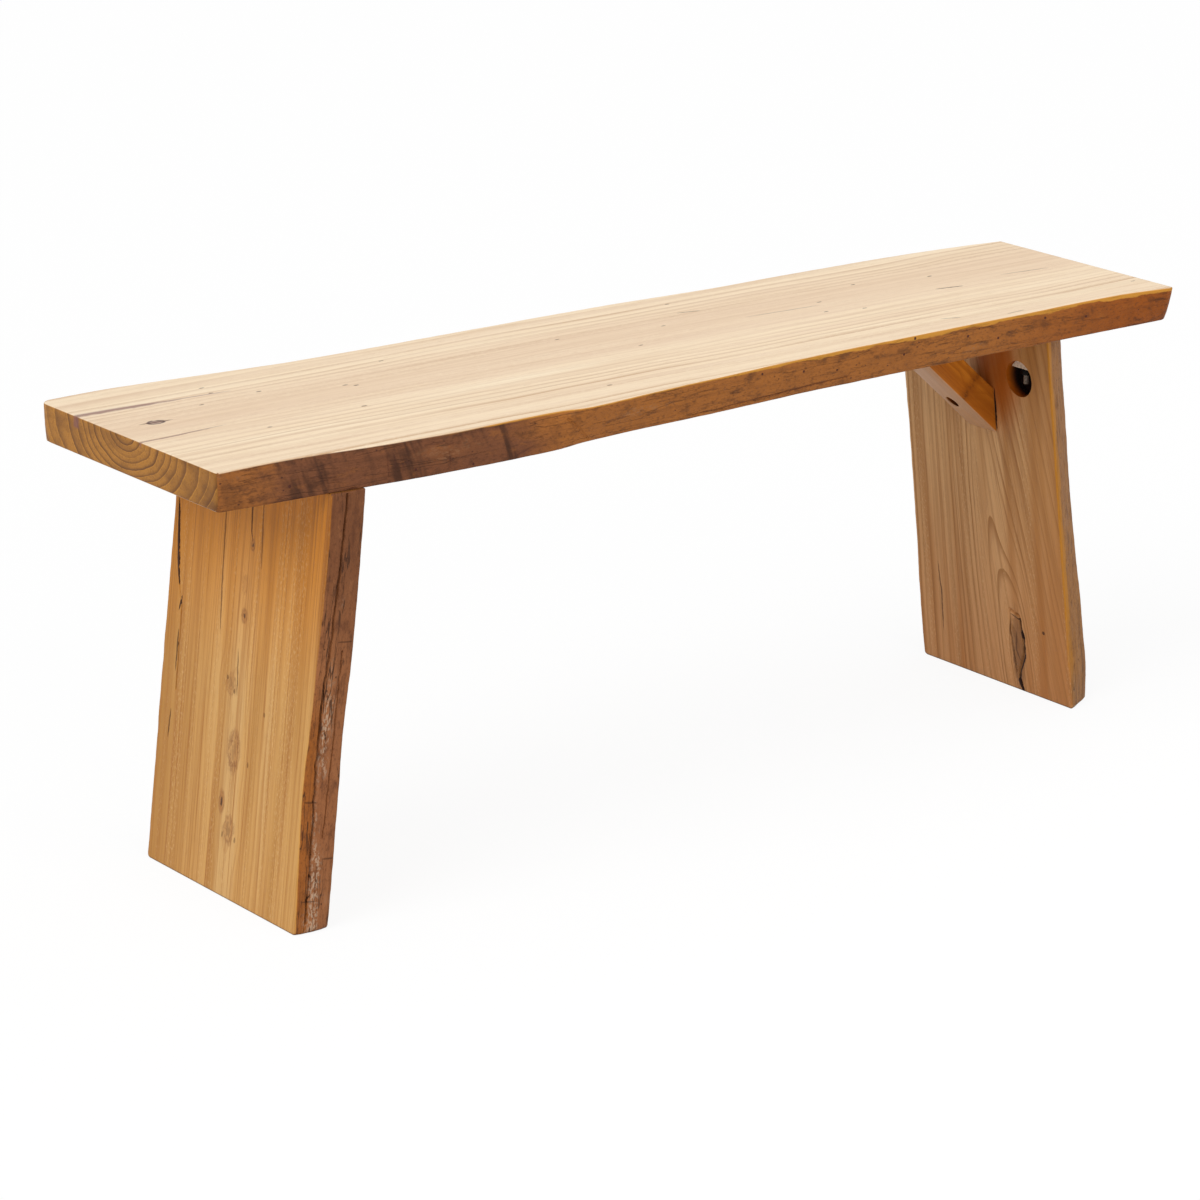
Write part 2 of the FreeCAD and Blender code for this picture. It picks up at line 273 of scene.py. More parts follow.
class Val:
    """A number that varies over a surface; arithmetic on it adds Math nodes."""

    def __init__(self, nodes: "Nodes", socket: bpy.types.NodeSocket) -> None:
        """Wraps one output socket."""
        self.nodes = nodes
        self.socket = socket

    def math(self, operation: str, *others: "Number") -> "Val":
        """Adds a Math node whose first input is this value.

        Args:
            operation: the node's operation.
            others: its further inputs.

        Returns:
            The node's result.
        """
        inputs = dict(enumerate((self, *others)))
        made = self.nodes.node("ShaderNodeMath", {"operation": operation}, inputs)
        return Val(self.nodes, made.outputs[0])

    def __add__(self, other: "Number") -> "Val":
        """Sum."""
        return self.math("ADD", other)

    __radd__ = __add__

    def __sub__(self, other: "Number") -> "Val":
        """Difference."""
        return self.math("SUBTRACT", other)

    def __rsub__(self, other: "Number") -> "Val":
        """Difference from a number."""
        return self.math("MULTIPLY_ADD", -1.0, other)

    def __mul__(self, other: "Number") -> "Val":
        """Product."""
        return self.math("MULTIPLY", other)

    __rmul__ = __mul__

    def __truediv__(self, other: "Number") -> "Val":
        """Quotient."""
        return self.math("DIVIDE", other)

    def __abs__(self) -> "Val":
        """Size without its sign."""
        return self.math("ABSOLUTE")

    def root(self) -> "Val":
        """Square root."""
        return self.math("SQRT")

    def fraction(self) -> "Val":
        """Part after the point."""
        return self.math("FRACT")

    def whole(self) -> "Val":
        """Part before the point."""
        return self.math("FLOOR")

    def most(self, other: "Number") -> "Val":
        """The greater of two values."""
        return self.math("MAXIMUM", other)

    def least(self, other: "Number") -> "Val":
        """The smaller of two values."""
        return self.math("MINIMUM", other)

    def step(self, low: float, high: float) -> "Val":
        """Eased step.

        Args:
            low, high: where it is 0 and where it is 1; low may be the greater one.

        Returns:
            The step, from 0 to 1.
        """
        inputs = {"Value": self, "From Min": low, "From Max": high}
        made = self.nodes.node("ShaderNodeMapRange", {"interpolation_type": "SMOOTHSTEP"}, inputs)
        return Val(self.nodes, made.outputs[0])


Number = Union[Val, float]
Tone = Union[Colour, bpy.types.NodeSocket]
Source = Union[Val, bpy.types.NodeSocket, float, tuple]
Layer = tuple[Number, Tone]


class Nodes:
    """Adds nodes to one node tree."""

    def __init__(self, tree: bpy.types.NodeTree) -> None:
        """Starts from an empty tree."""
        self.tree = tree
        tree.nodes.clear()

    def node(self, kind: str, settings: dict[str, object], inputs: dict[object, Source]) -> bpy.types.Node:
        """Adds a node.

        Args:
            kind: the node's type.
            settings: its properties, set first.
            inputs: the value or link of each socket, by name or number.

        Returns:
            The node.
        """
        made = self.tree.nodes.new(kind)
        for name, value in settings.items():
            setattr(made, name, value)
        for key, source in inputs.items():
            socket = source.socket if isinstance(source, Val) else source
            if isinstance(socket, bpy.types.NodeSocket):
                self.tree.links.new(socket, made.inputs[key])
            else:
                made.inputs[key].default_value = socket
        return made

    def value(self, kind: str, settings: dict[str, object], inputs: dict[object, Source],
              output: Union[int, str] = 0) -> Val:
        """Adds a node and wraps one of its outputs.

        Args:
            kind, settings, inputs: as for node.
            output: which output to wrap.

        Returns:
            The output as a value.
        """
        return Val(self, self.node(kind, settings, inputs).outputs[output])

    def mix(self, share: Number, first: Tone, second: Tone) -> bpy.types.NodeSocket:
        """Mixes two colours.

        Args:
            share: how much of the second.
            first, second: the colours.

        Returns:
            The mixed colour.
        """
        inputs = {0: share, 6: first, 7: second}
        return self.node("ShaderNodeMix", {"data_type": "RGBA"}, inputs).outputs[2]

    def layers(self, base: Tone, *layers: Layer) -> Tone:
        """Lays colours over one another.

        Args:
            base: the lowest colour.
            layers: how much each next colour covers, and the colour.

        Returns:
            The colour on top.
        """
        for share, tone in layers:
            base = self.mix(share, base, tone)
        return base

    def point(self, x: Number, y: Number, z: Number = 0.0) -> bpy.types.NodeSocket:
        """Joins three values to a vector."""
        return self.node("ShaderNodeCombineXYZ", {}, {0: x, 1: y, 2: z}).outputs[0]

    def vector(self, operation: str, *inputs: Source) -> bpy.types.Node:
        """Adds a Vector Math node."""
        return self.node("ShaderNodeVectorMath", {"operation": operation}, dict(enumerate(inputs)))

    def measure(self, operation: str, *inputs: Source) -> Val:
        """Adds a Vector Math node whose result is a number."""
        return Val(self, self.vector(operation, *inputs).outputs["Value"])

    def noise(self, x: Number, y: Number, z: Number, detail: float = 2.0, rough: float = 0.5) -> Val:
        """Cloudy noise from 0 to 1 at a point.

        Args:
            x, y, z: the point, in units of the noise's grain.
            detail: octaves.
            rough: how strong each further octave is.

        Returns:
            The noise.
        """
        inputs = {"Vector": self.point(x, y, z), "Scale": 1.0, "Detail": detail, "Roughness": rough}
        return self.value("ShaderNodeTexNoise", {}, inputs)

    def specks(self, x: Number, y: Number, z: Number) -> Val:
        """Distance to the nearest of scattered specks, about one to each unit."""
        inputs = {"Vector": self.point(x, y, z), "Scale": 1.0}
        return self.value("ShaderNodeTexVoronoi", {}, inputs, "Distance")

    def mark(self, name: str) -> Val:
        """A mark that the mesh carries on its vertices."""
        return self.value("ShaderNodeAttribute", {"attribute_name": name}, {}, "Fac")


class Shader(Nodes):
    """Builds one material."""

    def __init__(self, name: str) -> None:
        """Starts an empty material.

        Args:
            name: the material's name.
        """
        self.material = bpy.data.materials.new(name)
        self.material.use_nodes = True
        super().__init__(self.material.node_tree)
        place = self.node("ShaderNodeTexCoord", {}, {}).outputs["Object"]
        scaled = {0: place, "Scale": 1 / MM}
        self.place_mm = self.node("ShaderNodeVectorMath", {"operation": "SCALE"}, scaled).outputs[0]

    def axis(self, direction: Vector, origin: Vector) -> Val:
        """Distance in mm from an origin, along a direction.

        Args:
            direction: unit vector in the shared frame.
            origin: point in metres.

        Returns:
            The distance.
        """
        return self.measure("DOT_PRODUCT", self.place_mm, tuple(direction)) - direction.dot(origin) / MM

    def away(self, spot: bpy.types.NodeSocket, middle: Point2, half: Point2) -> Val:
        """Distance of a place from a middle.

        Args:
            spot: the place.
            middle: the middle.
            half: the half sizes that the distance is counted in.

        Returns:
            The distance.
        """
        scale = (1 / half[0], 1 / half[1], 0.0)
        shift = (-middle[0] / half[0], -middle[1] / half[1], 0.0)
        return self.measure("LENGTH", self.vector("MULTIPLY_ADD", spot, scale, shift).outputs[0])

    def from_line(self, spot: bpy.types.NodeSocket, start: Point2, end: Point2) -> Val:
        """Distance of a place from a straight line between two points.

        Args:
            spot: the place.
            start, end: the points.

        Returns:
            The distance.
        """
        first = Vector((*start, 0.0))
        run = Vector((*end, 0.0)) - first
        unit = run / run.length_squared
        inside = {"operation": "SUBTRACT", "use_clamp": True}
        inputs = {0: self.measure("DOT_PRODUCT", spot, tuple(unit)), 1: first.dot(unit)}
        share = self.value("ShaderNodeMath", inside, inputs)
        nearest = self.vector("MULTIPLY_ADD", tuple(run), share, tuple(first)).outputs[0]
        return self.measure("DISTANCE", spot, nearest)

    def finish(self, colour: Tone, roughness: Number, height_mm: Number,
               constants: dict[str, float]) -> None:
        """Joins the surface to the material's output.

        Args:
            colour: the base colour.
            roughness: the roughness.
            height_mm: small relief, in mm.
            constants: sockets of the surface that are the same all over.
        """
        bump = {"Strength": 1.0, "Distance": MM, "Height": height_mm}
        normal = self.node("ShaderNodeBump", {}, bump).outputs[0]
        inputs = {"Base Color": colour, "Roughness": roughness, "Normal": normal, **constants}
        surface = self.node("ShaderNodeBsdfPrincipled", {}, inputs).outputs[0]
        self.node("ShaderNodeOutputMaterial", {}, {"Surface": surface})


class KnotKind(Enum):
    """What a knot looks like."""

    ROUND = "round"
    PIN = "pin"


@dataclass(frozen=True)
class Knot:
    """A knot or worm hole: its middle in mm along and across the grain, its half sizes and its tones."""

    along: float
    across: float
    half_length: float
    half_width: float
    kind: KnotKind = KnotKind.ROUND
    face: Face = Face.FLAT
    core: float = 0.8
    rim: float = 0.6
    fill: float = 0.3
    ragged: float = 0.5
    swerve: float = 1.3
    patchy: float = 0.8

    def away(self, sh: "BoardShader") -> Val:
        """Distance from the middle, counted in half sizes."""
        half = (self.half_length, self.half_width)
        return sh.away(sh.places[self.face], (self.along, self.across), half)


@dataclass(frozen=True)
class Check:
    """A dark split: its path in mm along and across the grain, its greatest width and how dark it is.

    Below, if given, is how deep under the board's origin the split still shows, and soft is how blurred its
    sides are.
    """

    path: tuple[Point2, ...]
    width: float
    face: Face = Face.FLAT
    depth: float = 1.0
    below: Optional[float] = None
    soft: float = 0.35


@dataclass(frozen=True)
class Fade:
    """A change over a board: where along one of its axes it starts and is complete, and how strong it is.

    Without places it starts beyond every board, and so shows nowhere.
    """

    start: float = FAR
    full: float = 2 * FAR
    strength: float = 1.0

    def over(self, place: Val) -> Val:
        """How far the change has come at a place."""
        return place.step(self.start, self.full) * self.strength


# A change that is complete all over a board.
ALWAYS = Fade(-2 * FAR, -FAR)

# The dark line where a leg meets the floor, by height in mm.
FLOOR_LINE = Fade(2.4, 0.6, 0.6)


@dataclass(frozen=True)
class ShadeAndStain:
    """A soft patch: painted shade on the legs and a real stain on the brace.

    It has its middle in mm, its half sizes, its strength, its depth and its colour. Without a colour of its
    own it has the board's colour for shade and stains.
    """

    along: float
    across: float
    half_length: float
    half_width: float
    strength: float
    deep: Fade = ALWAYS
    tone: Optional[Colour] = None

    def over(self, sh: "BoardShader", wobble: Val) -> Val:
        """How far the patch covers the wood.

        Args:
            sh: the board's shader.
            wobble: noise round 0 that makes its outline uneven.

        Returns:
            From 0 to its strength.
        """
        half = (self.half_length, self.half_width)
        away = sh.away(sh.point(sh.a, sh.c), (self.along, self.across), half) + wobble * 0.4
        return away.step(1.3, 0.4) * self.deep.over(sh.t) * self.strength


@dataclass(frozen=True)
class Bore:
    """A round hole."""

    start: Vector
    direction: Vector
    length: float
    diameter: float

    def cutter(self) -> bpy.types.Object:
        """Makes the round bar that cuts the hole.

        Returns:
            The bar.
        """
        bm = bmesh.new()
        turn = UP.rotation_difference(self.direction).to_matrix().to_4x4()
        place = Matrix.Translation(self.start + self.direction * (self.length / 2)) @ turn
        bmesh.ops.create_cone(bm, cap_ends=True, segments=BORE_SIDES, radius1=self.diameter / 2,
                              radius2=self.diameter / 2, depth=self.length, matrix=place)
        return as_object(bm, "cutter")


@dataclass(frozen=True)
class Marks:
    """What interrupts the plain grain of a board."""

    knots: tuple[Knot, ...] = ()
    checks: tuple[Check, ...] = ()
    # Soft patches: painted shade on the legs, real stains on the brace.
    shades_and_stains: tuple[ShadeAndStain, ...] = ()
    # Holes whose walls get painted shade.
    bores: tuple[Bore, ...] = ()
    streaks: tuple[Check, ...] = ()


@dataclass(frozen=True)
class Axes:
    """A board's own axes in the shared frame, and its thickness in mm."""

    origin: Vector
    grain: Vector
    across: Vector
    through: Vector
    thickness: float


@dataclass(frozen=True)
class Rings:
    """Growth rings: where their pith lies across and through the board, and their width, in mm.

    Lean and slant are how far the pith moves through and across the board for each mm along it. The rings
    are as wide as given near the pith, and twice as wide at a distance of core from it. Their lines grow
    strong along growing, away from the pith. Squash makes them wider across the board than through it, and
    the slant holds along slanted, across the board.
    """

    across: float
    through: float
    lean: float
    slant: float
    width: float
    strength: float
    sway: float = 16.0
    core: float = 1000.0
    growing: Fade = ALWAYS
    squash: float = 1.0
    slanted: Fade = ALWAYS


@dataclass(frozen=True)
class Figure:
    """How strongly soft bands, thin lines, fibres and pale flecks show in the wood."""

    bands: float = 0.45
    lines: float = 0.55
    fibres: float = 0.35
    flecks: float = 0.30


@dataclass(frozen=True)
class SapBand:
    """Golden sapwood along an arris: between which depths, and how far it runs onto each face, in mm."""

    low: float
    high: float
    inside: float
    outside: float
    along: Fade
    wider: Fade = Fade()


@dataclass(frozen=True)
class LiveEdge:
    """How the colour of a live edge runs along a board.

    The edge lightens along light, or along first_light at its start, and warms along warm. A strip of it
    next to the board's origin face, strip_width wide in mm, has its own colour along strip. Near its top
    end the edge darkens along dark. Past under the dark colour also covers the arris. Smudged,
    cracked, streaked and draped are how uneven its colour is and how dark its long cracks, its streaks and
    the folds across its darker part are.
    """

    light: Fade = replace(ALWAYS, strength=0.5)
    first_light: Fade = Fade()
    warm: Fade = Fade()
    dark: Fade = Fade()
    strip: Fade = Fade()
    strip_width: float = 0.0
    under: float = -FAR
    smudged: float = 0.5
    cracked: float = 0.3
    streaked: float = 0.45
    draped: float = 0.0


@dataclass(frozen=True)
class Palette:
    """Colours of one board."""

    early: Colour
    late: Colour
    cloud: Colour
    pale: Colour
    lane: Colour
    pore: Colour
    knot: Colour
    fill: Colour
    check: Colour
    end: Colour
    end_line: Colour
    bark: Colour
    bark_light: Colour
    bark_deep: Colour
    # Wear on live edges; on the brace, its paler lower face with a painted reflection of the white floor.
    worn: Colour
    gold: Colour
    strip: Colour
    # Painted shade on the legs and in bored holes; also the seat's real streaks and the brace's stains.
    shade_and_stain: Colour
    # Painted shadow deep in bored holes.
    hole_shadow: Colour


@dataclass(frozen=True)
class BoardLook:
    """What sets one board's wood apart from another's.

    The wood darkens along top towards the shade colour: painted shade under the seat on the left leg,
    and darker towards the foot on the right leg. It darkens across the board along flank. Lane is where
    across the board a lane of its own colour lies, with its half width. The last field is how far a face at
    the board's origin is paler: unlacquered wood with a painted reflection of the white floor.
    """

    palette: Palette
    rings: Rings
    sap: SapBand
    figure: Figure = Figure()
    marks: Marks = Marks()
    live: LiveEdge = LiveEdge()
    top: Fade = Fade()
    flank: Fade = Fade()
    lane: Point2 = (FAR, 1.0)
    raw_and_floor_sheen: Fade = Fade()


@dataclass(frozen=True)
class Grain:
    """The plain wood of a board: its colour, and masks of what makes it up."""

    colour: Tone
    late: Val
    early: Val
    fibre: Val
    pore: Val


class BoardShader(Shader):
    """Builds the wood of one board, on the board's own axes.

    The axes a, c and t run along, across and through the board, in mm. Edge is the mark of the live edges,
    bark and end_grain are masks of the live edges and the sawn ends, and ragged is fine noise round 0. Places
    and shown are the place on each kind of face and its mask.
    """

    def __init__(self, name: str, axes: Axes, under: float) -> None:
        """Starts the material.

        Args:
            name: the material's name.
            axes: the board's axes.
            under: the depth past which the live edge also covers the arris.
        """
        super().__init__(name)
        ways = (axes.grain, axes.across, axes.through)
        self.a, self.c, self.t = (self.axis(way, axes.origin) for way in ways)
        edge, end = self.mark("edge"), self.mark("end")
        self.edge = edge + self.t.step(under + 3.0, under) * edge.step(4.0, 8.0) * 4.0
        corner = self.edge.step(7.5, 9.0) * end.step(7.5, 9.0)
        self.bark = self.edge.step(ARRIS_MARK - 0.3, ARRIS_MARK + 1.2).most(corner)
        self.end_grain = end.step(ARRIS_MARK - 0.6, ARRIS_MARK + 0.6)
        fine = self.clouds(0.33, 0.8, 0.8, 3.0) - 0.5
        self.ragged = self.clouds(0.10, 0.30, 0.30, 3.0) - 0.5 + fine * 0.5
        self.places = {Face.FLAT: self.point(self.a, self.c + self.ragged * 2.0),
                       Face.EDGE: self.point(self.a, self.t + self.ragged * 2.0)}
        self.shown = {Face.FLAT: 1 - self.bark, Face.EDGE: self.bark}

    def clouds(self, along: float, across: float, through: float, detail: float = 2.0, rough: float = 0.5,
               shift: float = 0.0) -> Val:
        """Cloudy noise on the board's axes.

        Args:
            along, across, through: how fine it is on each axis, in clouds a mm.
            detail, rough: as for noise.
            shift: sets it apart from other noise that is as fine.

        Returns:
            The noise, from 0 to 1.
        """
        deep = self.t * through + shift if shift else self.t * through
        return self.noise(self.a * along, self.c * across, deep, detail, rough)


@dataclass(frozen=True)
class WoodFinish:
    """Lacquered wood with growth rings round a pith, live edges, knots and splits."""

    name: str
    axes: Axes
    look: BoardLook
    roughness: float = 0.42
    specular: float = 0.20

    def material(self) -> bpy.types.Material:
        """Builds the material.

        Returns:
            The material, in mm on the board's own axes.
        """
        look, tones = self.look, self.look.palette
        sh = BoardShader(self.name, self.axes, look.live.under)
        cores, rims, fills, bulge = self._knots(sh)
        splits = self._pins(sh).most(self._checks(sh, look.marks.checks))
        streaks = self._checks(sh, look.marks.streaks)
        grain = self._grain(sh, bulge)
        raw_and_floor_sheen = sh.t.step(1.4, 0.4) * look.raw_and_floor_sheen.over(sh.a)
        live, pits, cracks, grit = self._live_edge(sh)
        wall_shade, hole_shadow = self._bore_shade(sh)
        wood = sh.layers(
            grain.colour,
            (fills.least(0.9), tones.fill),
            (rims.least(1.0), tones.knot),
            (cores.least(1.0), tones.check),
            (sh.end_grain, self._end_grain(sh, grain)),
            # Paler unlacquered face, with a painted reflection of the white floor.
            (raw_and_floor_sheen * (0.35 + grain.fibre * 1.1).least(1.0), tones.worn),
            (sh.bark, live),
            (self._sapwood(sh), tones.gold),
            # Real dark streaks, in the board's colour for shade and stains.
            (streaks, tones.shade_and_stain),
            (splits, tones.check),
            (FLOOR_LINE.over(sh.axis(UP, Vector())), tones.check),
            # Painted shade on the walls of bored holes, and painted shadow deep inside them.
            (wall_shade, tones.shade_and_stain),
            (hole_shadow, tones.hole_shadow),
        )
        roughness = self.roughness + grain.fibre * 0.10 + sh.bark * 0.12 + splits * 0.2 + hole_shadow * 0.4
        height = (grain.fibre * 0.05 - grain.pore * 0.06 - grain.late * 0.03
                  + sh.bark * (grit * 0.7 - pits * 0.7 - cracks * 0.7))
        sh.finish(wood, roughness, height, {"Specular IOR Level": self.specular})
        return sh.material

    def _knots(self, sh: BoardShader) -> tuple[Val, Val, Val, Val]:
        """Masks of the knots.

        Args:
            sh: the board's shader.

        Returns:
            Dark cores, rims, fillings and how far the rings swerve in mm.
        """
        cores = rims = fills = bulge = sh.ragged * 0.0
        for knot in self.look.marks.knots:
            if knot.kind is KnotKind.PIN:
                continue
            smooth = knot.away(sh)
            away = smooth + sh.ragged * (2.0 * knot.ragged)
            where = sh.shown[knot.face]
            whole = 1 - sh.ragged.step(0.12, -0.16) * knot.patchy
            shell = away.step(0.60, 0.85) * away.step(1.20, 0.95) * whole
            rims = rims + shell * where * knot.rim
            cores = cores + away.step(0.50, 0.20) * where * knot.core
            fills = fills + away.step(1.40, 0.30) * where * knot.fill
            bulge = bulge + smooth.step(3.6, 0.4) * (knot.half_width * knot.swerve)
        return cores, rims, fills, bulge

    def _pins(self, sh: BoardShader) -> Val:
        """Mask of the pin knots and worm holes.

        Args:
            sh: the board's shader.

        Returns:
            Above 0 in a pin, by how dark it is.
        """
        groups: dict[tuple[Face, float], list[Val]] = {}
        for knot in self.look.marks.knots:
            if knot.kind is KnotKind.PIN:
                groups.setdefault((knot.face, knot.core), []).append(knot.away(sh))
        total = sh.ragged * 0.0
        for (face, core), aways in groups.items():
            away = reduce(Val.least, aways) + sh.ragged * 0.5
            total = total + away.step(1.15, 0.75) * sh.shown[face] * core
        return total

    def _checks(self, sh: BoardShader, checks: tuple[Check, ...]) -> Val:
        """Mask of splits or streaks.

        Args:
            sh: the board's shader.
            checks: the splits.

        Returns:
            Above 0 in a split, by how dark it is.
        """
        total = sh.ragged * 0.0
        for check in checks:
            lines = zip(check.path, check.path[1:])
            gap = reduce(Val.least, [sh.from_line(sh.places[check.face], *ends) for ends in lines])
            low, high = min(check.path)[0], max(check.path)[0]
            u = (sh.a - (high + low) / 2) / ((high - low) / 2)
            square = u * u
            room = (1.1 - square * square + sh.ragged * 0.8) * (check.width / 2)
            mask = (room - gap).step(-check.soft, check.soft) * sh.shown[check.face] * check.depth
            if check.below is not None:
                mask = mask * sh.t.step(check.below - 2.0, check.below + 2.0)
            total = total.most(mask)
        return total

    def _grain(self, sh: BoardShader, bulge: Val) -> Grain:
        """Growth rings, bands, lines and fibres.

        Args:
            sh: the board's shader.
            bulge: how far the rings swerve, in mm.

        Returns:
            The plain wood.
        """
        look, a, c, t = self.look, sh.a, sh.c, sh.t
        tones, rings, figure = look.palette, look.rings, look.figure
        sway = sh.clouds(0.0028, 0.008, 0.008) - 0.5
        roll = sh.clouds(0.0035, 0.01, 0.01, 1.0, shift=9.0) - 0.5
        flow = c - a * rings.slant * rings.slanted.over(c) if rings.slant else c
        x = (flow - rings.across + sway * rings.sway) * rings.squash
        y = t - rings.through - a * rings.lean + roll * (rings.sway * 0.6)
        radius = (x * x + y * y).root() - bulge
        wobble = sh.clouds(0.006, 0.07, 0.07) - 0.5
        crowded = ((radius + wobble * 2.5) / rings.core + 1.0).math("LOGARITHM", math.e)
        lap = crowded * (rings.core / rings.width) + sh.noise(radius * 0.03, 0.0, 0.0, 1.0) * 2.5
        part = lap.fraction()
        late = part.step(0.10, 0.96).math("POWER", 3.0) * part.step(1.0, 0.965)
        own = sh.value("ShaderNodeTexWhiteNoise", {"noise_dimensions": "1D"}, {"W": lap.whole()})
        fade = sh.clouds(0.004, 0.03, 0.03, shift=4.0).step(0.30, 0.65)
        shown = (0.35 + fade * 0.65) * (0.25 + rings.growing.over(radius) * 0.75) * rings.strength
        broad = sh.clouds(0.0013, 0.030, 0.030, 2.0, 0.6)
        band = sh.noise(a * 0.0022, flow * 0.11, t * 0.11, 2.0, 0.6)
        line = sh.noise(a * 0.0030, flow * 0.34, t * 0.34, 3.0, 0.65).step(0.53, 0.66)
        fibre = sh.noise(a * 0.014, flow * 0.80, t * 0.80, 3.0, 0.6)
        pore = sh.clouds(0.06, 1.9, 1.9, 1.0).step(0.62, 0.74)
        column = sh.clouds(0.0012, 0.055, 0.055, 1.0, shift=6.0).step(0.48, 0.60)
        fleck = sh.clouds(0.22, 0.75, 0.75, shift=2.0).step(0.52, 0.64) * column
        centre, half = look.lane
        lane = abs(c - centre + sway * 10.0 + wobble * 12.0).step(half * 1.6, half * 0.5) * 0.6
        wood = sh.layers(
            tones.early,
            (broad.step(0.44, 0.70) * 0.75, tones.cloud),
            (broad.step(0.46, 0.26) * 0.60, tones.pale),
            (lane, tones.lane),
            (look.flank.over(c), tones.cloud),
            # Painted shade under the seat at the left leg's top; the right leg darkens towards its foot.
            (look.top.over(a + sway * 30.0), tones.shade_and_stain),
            (band.step(0.45, 0.70) * figure.bands, tones.late),
            (late * own.step(0.0, 0.8) * shown, tones.late),
            (line * figure.lines, tones.late),
            (fibre.step(0.50, 0.78) * figure.fibres, tones.late),
            (fleck * figure.flecks, tones.pale),
            (pore * 0.35, tones.pore),
            # Soft patches: painted shade on the legs, real stains on the brace.
            *((soft_patch.over(sh, wobble), soft_patch.tone or tones.shade_and_stain) for soft_patch in look.marks.shades_and_stains),
        )
        return Grain(wood, late * (0.35 + own * 0.65), part.step(0.12, 0.03), fibre, pore)

    def _end_grain(self, sh: BoardShader, grain: Grain) -> Tone:
        """Colour of the sawn ends.

        Args:
            sh: the board's shader.
            grain: the plain wood.

        Returns:
            The colour.
        """
        tones = self.look.palette
        patch = sh.clouds(0.01, 0.025, 0.05, 3.0)
        speck = sh.clouds(0.5, 0.6, 0.6, 3.0)
        return sh.layers(
            tones.end,
            (patch.step(0.42, 0.70) * 0.45 + sh.c.step(-30.0, -170.0) * 0.35, tones.end_line),
            (grain.late, tones.end_line),
            (grain.early * 0.40, tones.gold),
            (speck.step(0.48, 0.75) * 0.50, tones.end_line),
        )

    def _live_edge(self, sh: BoardShader) -> tuple[Tone, Val, Val, Val]:
        """Colour and relief of the live edges.

        Args:
            sh: the board's shader.

        Returns:
            The colour, worm pits, long cracks and fine grit.
        """
        tones, edge, a, c, t = self.look.palette, self.look.live, sh.a, sh.c, sh.t
        smudge = sh.clouds(0.012, 0.02, 0.05, 4.0, 0.6)
        mottle = sh.clouds(0.045, 0.05, 0.09, 5.0, 0.7, shift=5.0)
        streak = sh.clouds(0.010, 0.03, 0.33, 3.0, 0.65)
        grit = sh.clouds(0.22, 0.3, 0.45, 4.0, 0.65)
        split = abs(sh.clouds(0.009, 0.01, 0.13, 3.0, shift=3.0) - 0.5)
        cracks = split.step(0.016, 0.005) * smudge.step(0.44, 0.56)
        pits = sh.specks(a * 0.060, c * 0.04, t * 0.10).step(0.075, 0.045)
        drift = a + (smudge - 0.5) * 90.0 + (mottle - 0.5) * 60.0
        light = edge.light.over(drift) + edge.first_light.over(drift) + (smudge - 0.5) * edge.smudged
        worn = smudge.step(0.58, 0.74) * 0.35

        layers = [
            (light, tones.bark_light),
            (edge.warm.over(a), tones.strip),
            (edge.dark.over(a), tones.bark_deep),
        ]
        if edge.strip_width > 0:
            bound = t + (sh.noise(a * 0.02, 0.0, 7.0, 3.0) - 0.5) * 9.0 - edge.strip_width
            layers.append((edge.strip.over(a) * bound.step(0.6, -0.6) * 0.85, tones.strip))
            seam = abs(bound - 6.0).step(7.5, 1.0) * edge.strip.over(a)
            worn = worn + seam * smudge.step(0.40, 0.56)
        layers.append((streak.step(0.48, 0.70) * edge.streaked, tones.bark_deep))
        if edge.draped > 0:
            fold = sh.noise(a * 0.055 + t * 0.015, c * 0.02, t * 0.010, 3.0, 0.6).step(0.46, 0.66)
            layers.append((fold * (1 - light.least(1.0)) * edge.draped, tones.bark_deep))
        layers += [
            (mottle.step(0.50, 0.68) * 0.55, tones.bark_deep),
            (mottle.step(0.46, 0.28) * 0.35, tones.bark_light),
            (grit.step(0.50, 0.70) * 0.50, tones.bark_deep),
            ((worn * grit.step(0.46, 0.60)).least(0.6), tones.worn),
            ((cracks * edge.cracked).most(pits * 0.85), tones.check),
        ]
        return sh.layers(tones.bark, *layers), pits, cracks, grit

    def _sapwood(self, sh: BoardShader) -> Val:
        """Mask of the sapwood along the front arris.

        Args:
            sh: the board's shader.

        Returns:
            1 on the sapwood.
        """
        sap, t = self.look.sap, sh.t
        rough = (sh.noise(sh.a * 0.025, t * 0.1, 0.0, 4.0, 0.6) - 0.5) * 2.0
        past = sh.edge - ARRIS_MARK
        width = sap.outside * (1.0 + rough * 0.8) + sap.wider.over(sh.a) * (0.6 + rough)
        inner = (past + (1.0 + rough * 0.8) * sap.inside).step(-0.6, 0.6)
        deep = t.step(sap.low - 1.0, sap.low + 1.0) * t.step(sap.high + 1.0, sap.high - 1.0)
        shown = inner * (width - past).step(-0.4, 0.2 + sap.outside * 0.5) * deep * sh.c.step(10.0, -10.0)
        return shown * sap.along.over(sh.a + rough * 40.0)

    def _bore_shade(self, sh: BoardShader) -> tuple[Val, Val]:
        """Masks of painted shade on the bored holes' walls, which all run square to Y and darken inwards.

        Args:
            sh: the board's shader.

        Returns:
            1 on a wall, for painted shade, and 1 deep in a hole, for painted shadow.
        """
        # All the bores together, which get painted shade.
        shade_and_stain = sh.t * 0.0
        sunk = sh.t.least(self.axes.thickness - sh.t)
        for bore in self.look.marks.bores:
            up = sh.axis(bore.direction.cross(BACKWARDS), bore.start)
            aside = sh.axis(BACKWARDS, bore.start)
            radius = bore.diameter / 2 / MM
            shade_and_stain = shade_and_stain + (up * up + aside * aside).root().step(radius + 0.5, radius + 0.2)
        wall_shade = shade_and_stain.least(1.0)
        return wall_shade * sunk.step(0.2, 1.4), wall_shade * sunk.step(2.0, 15.0)


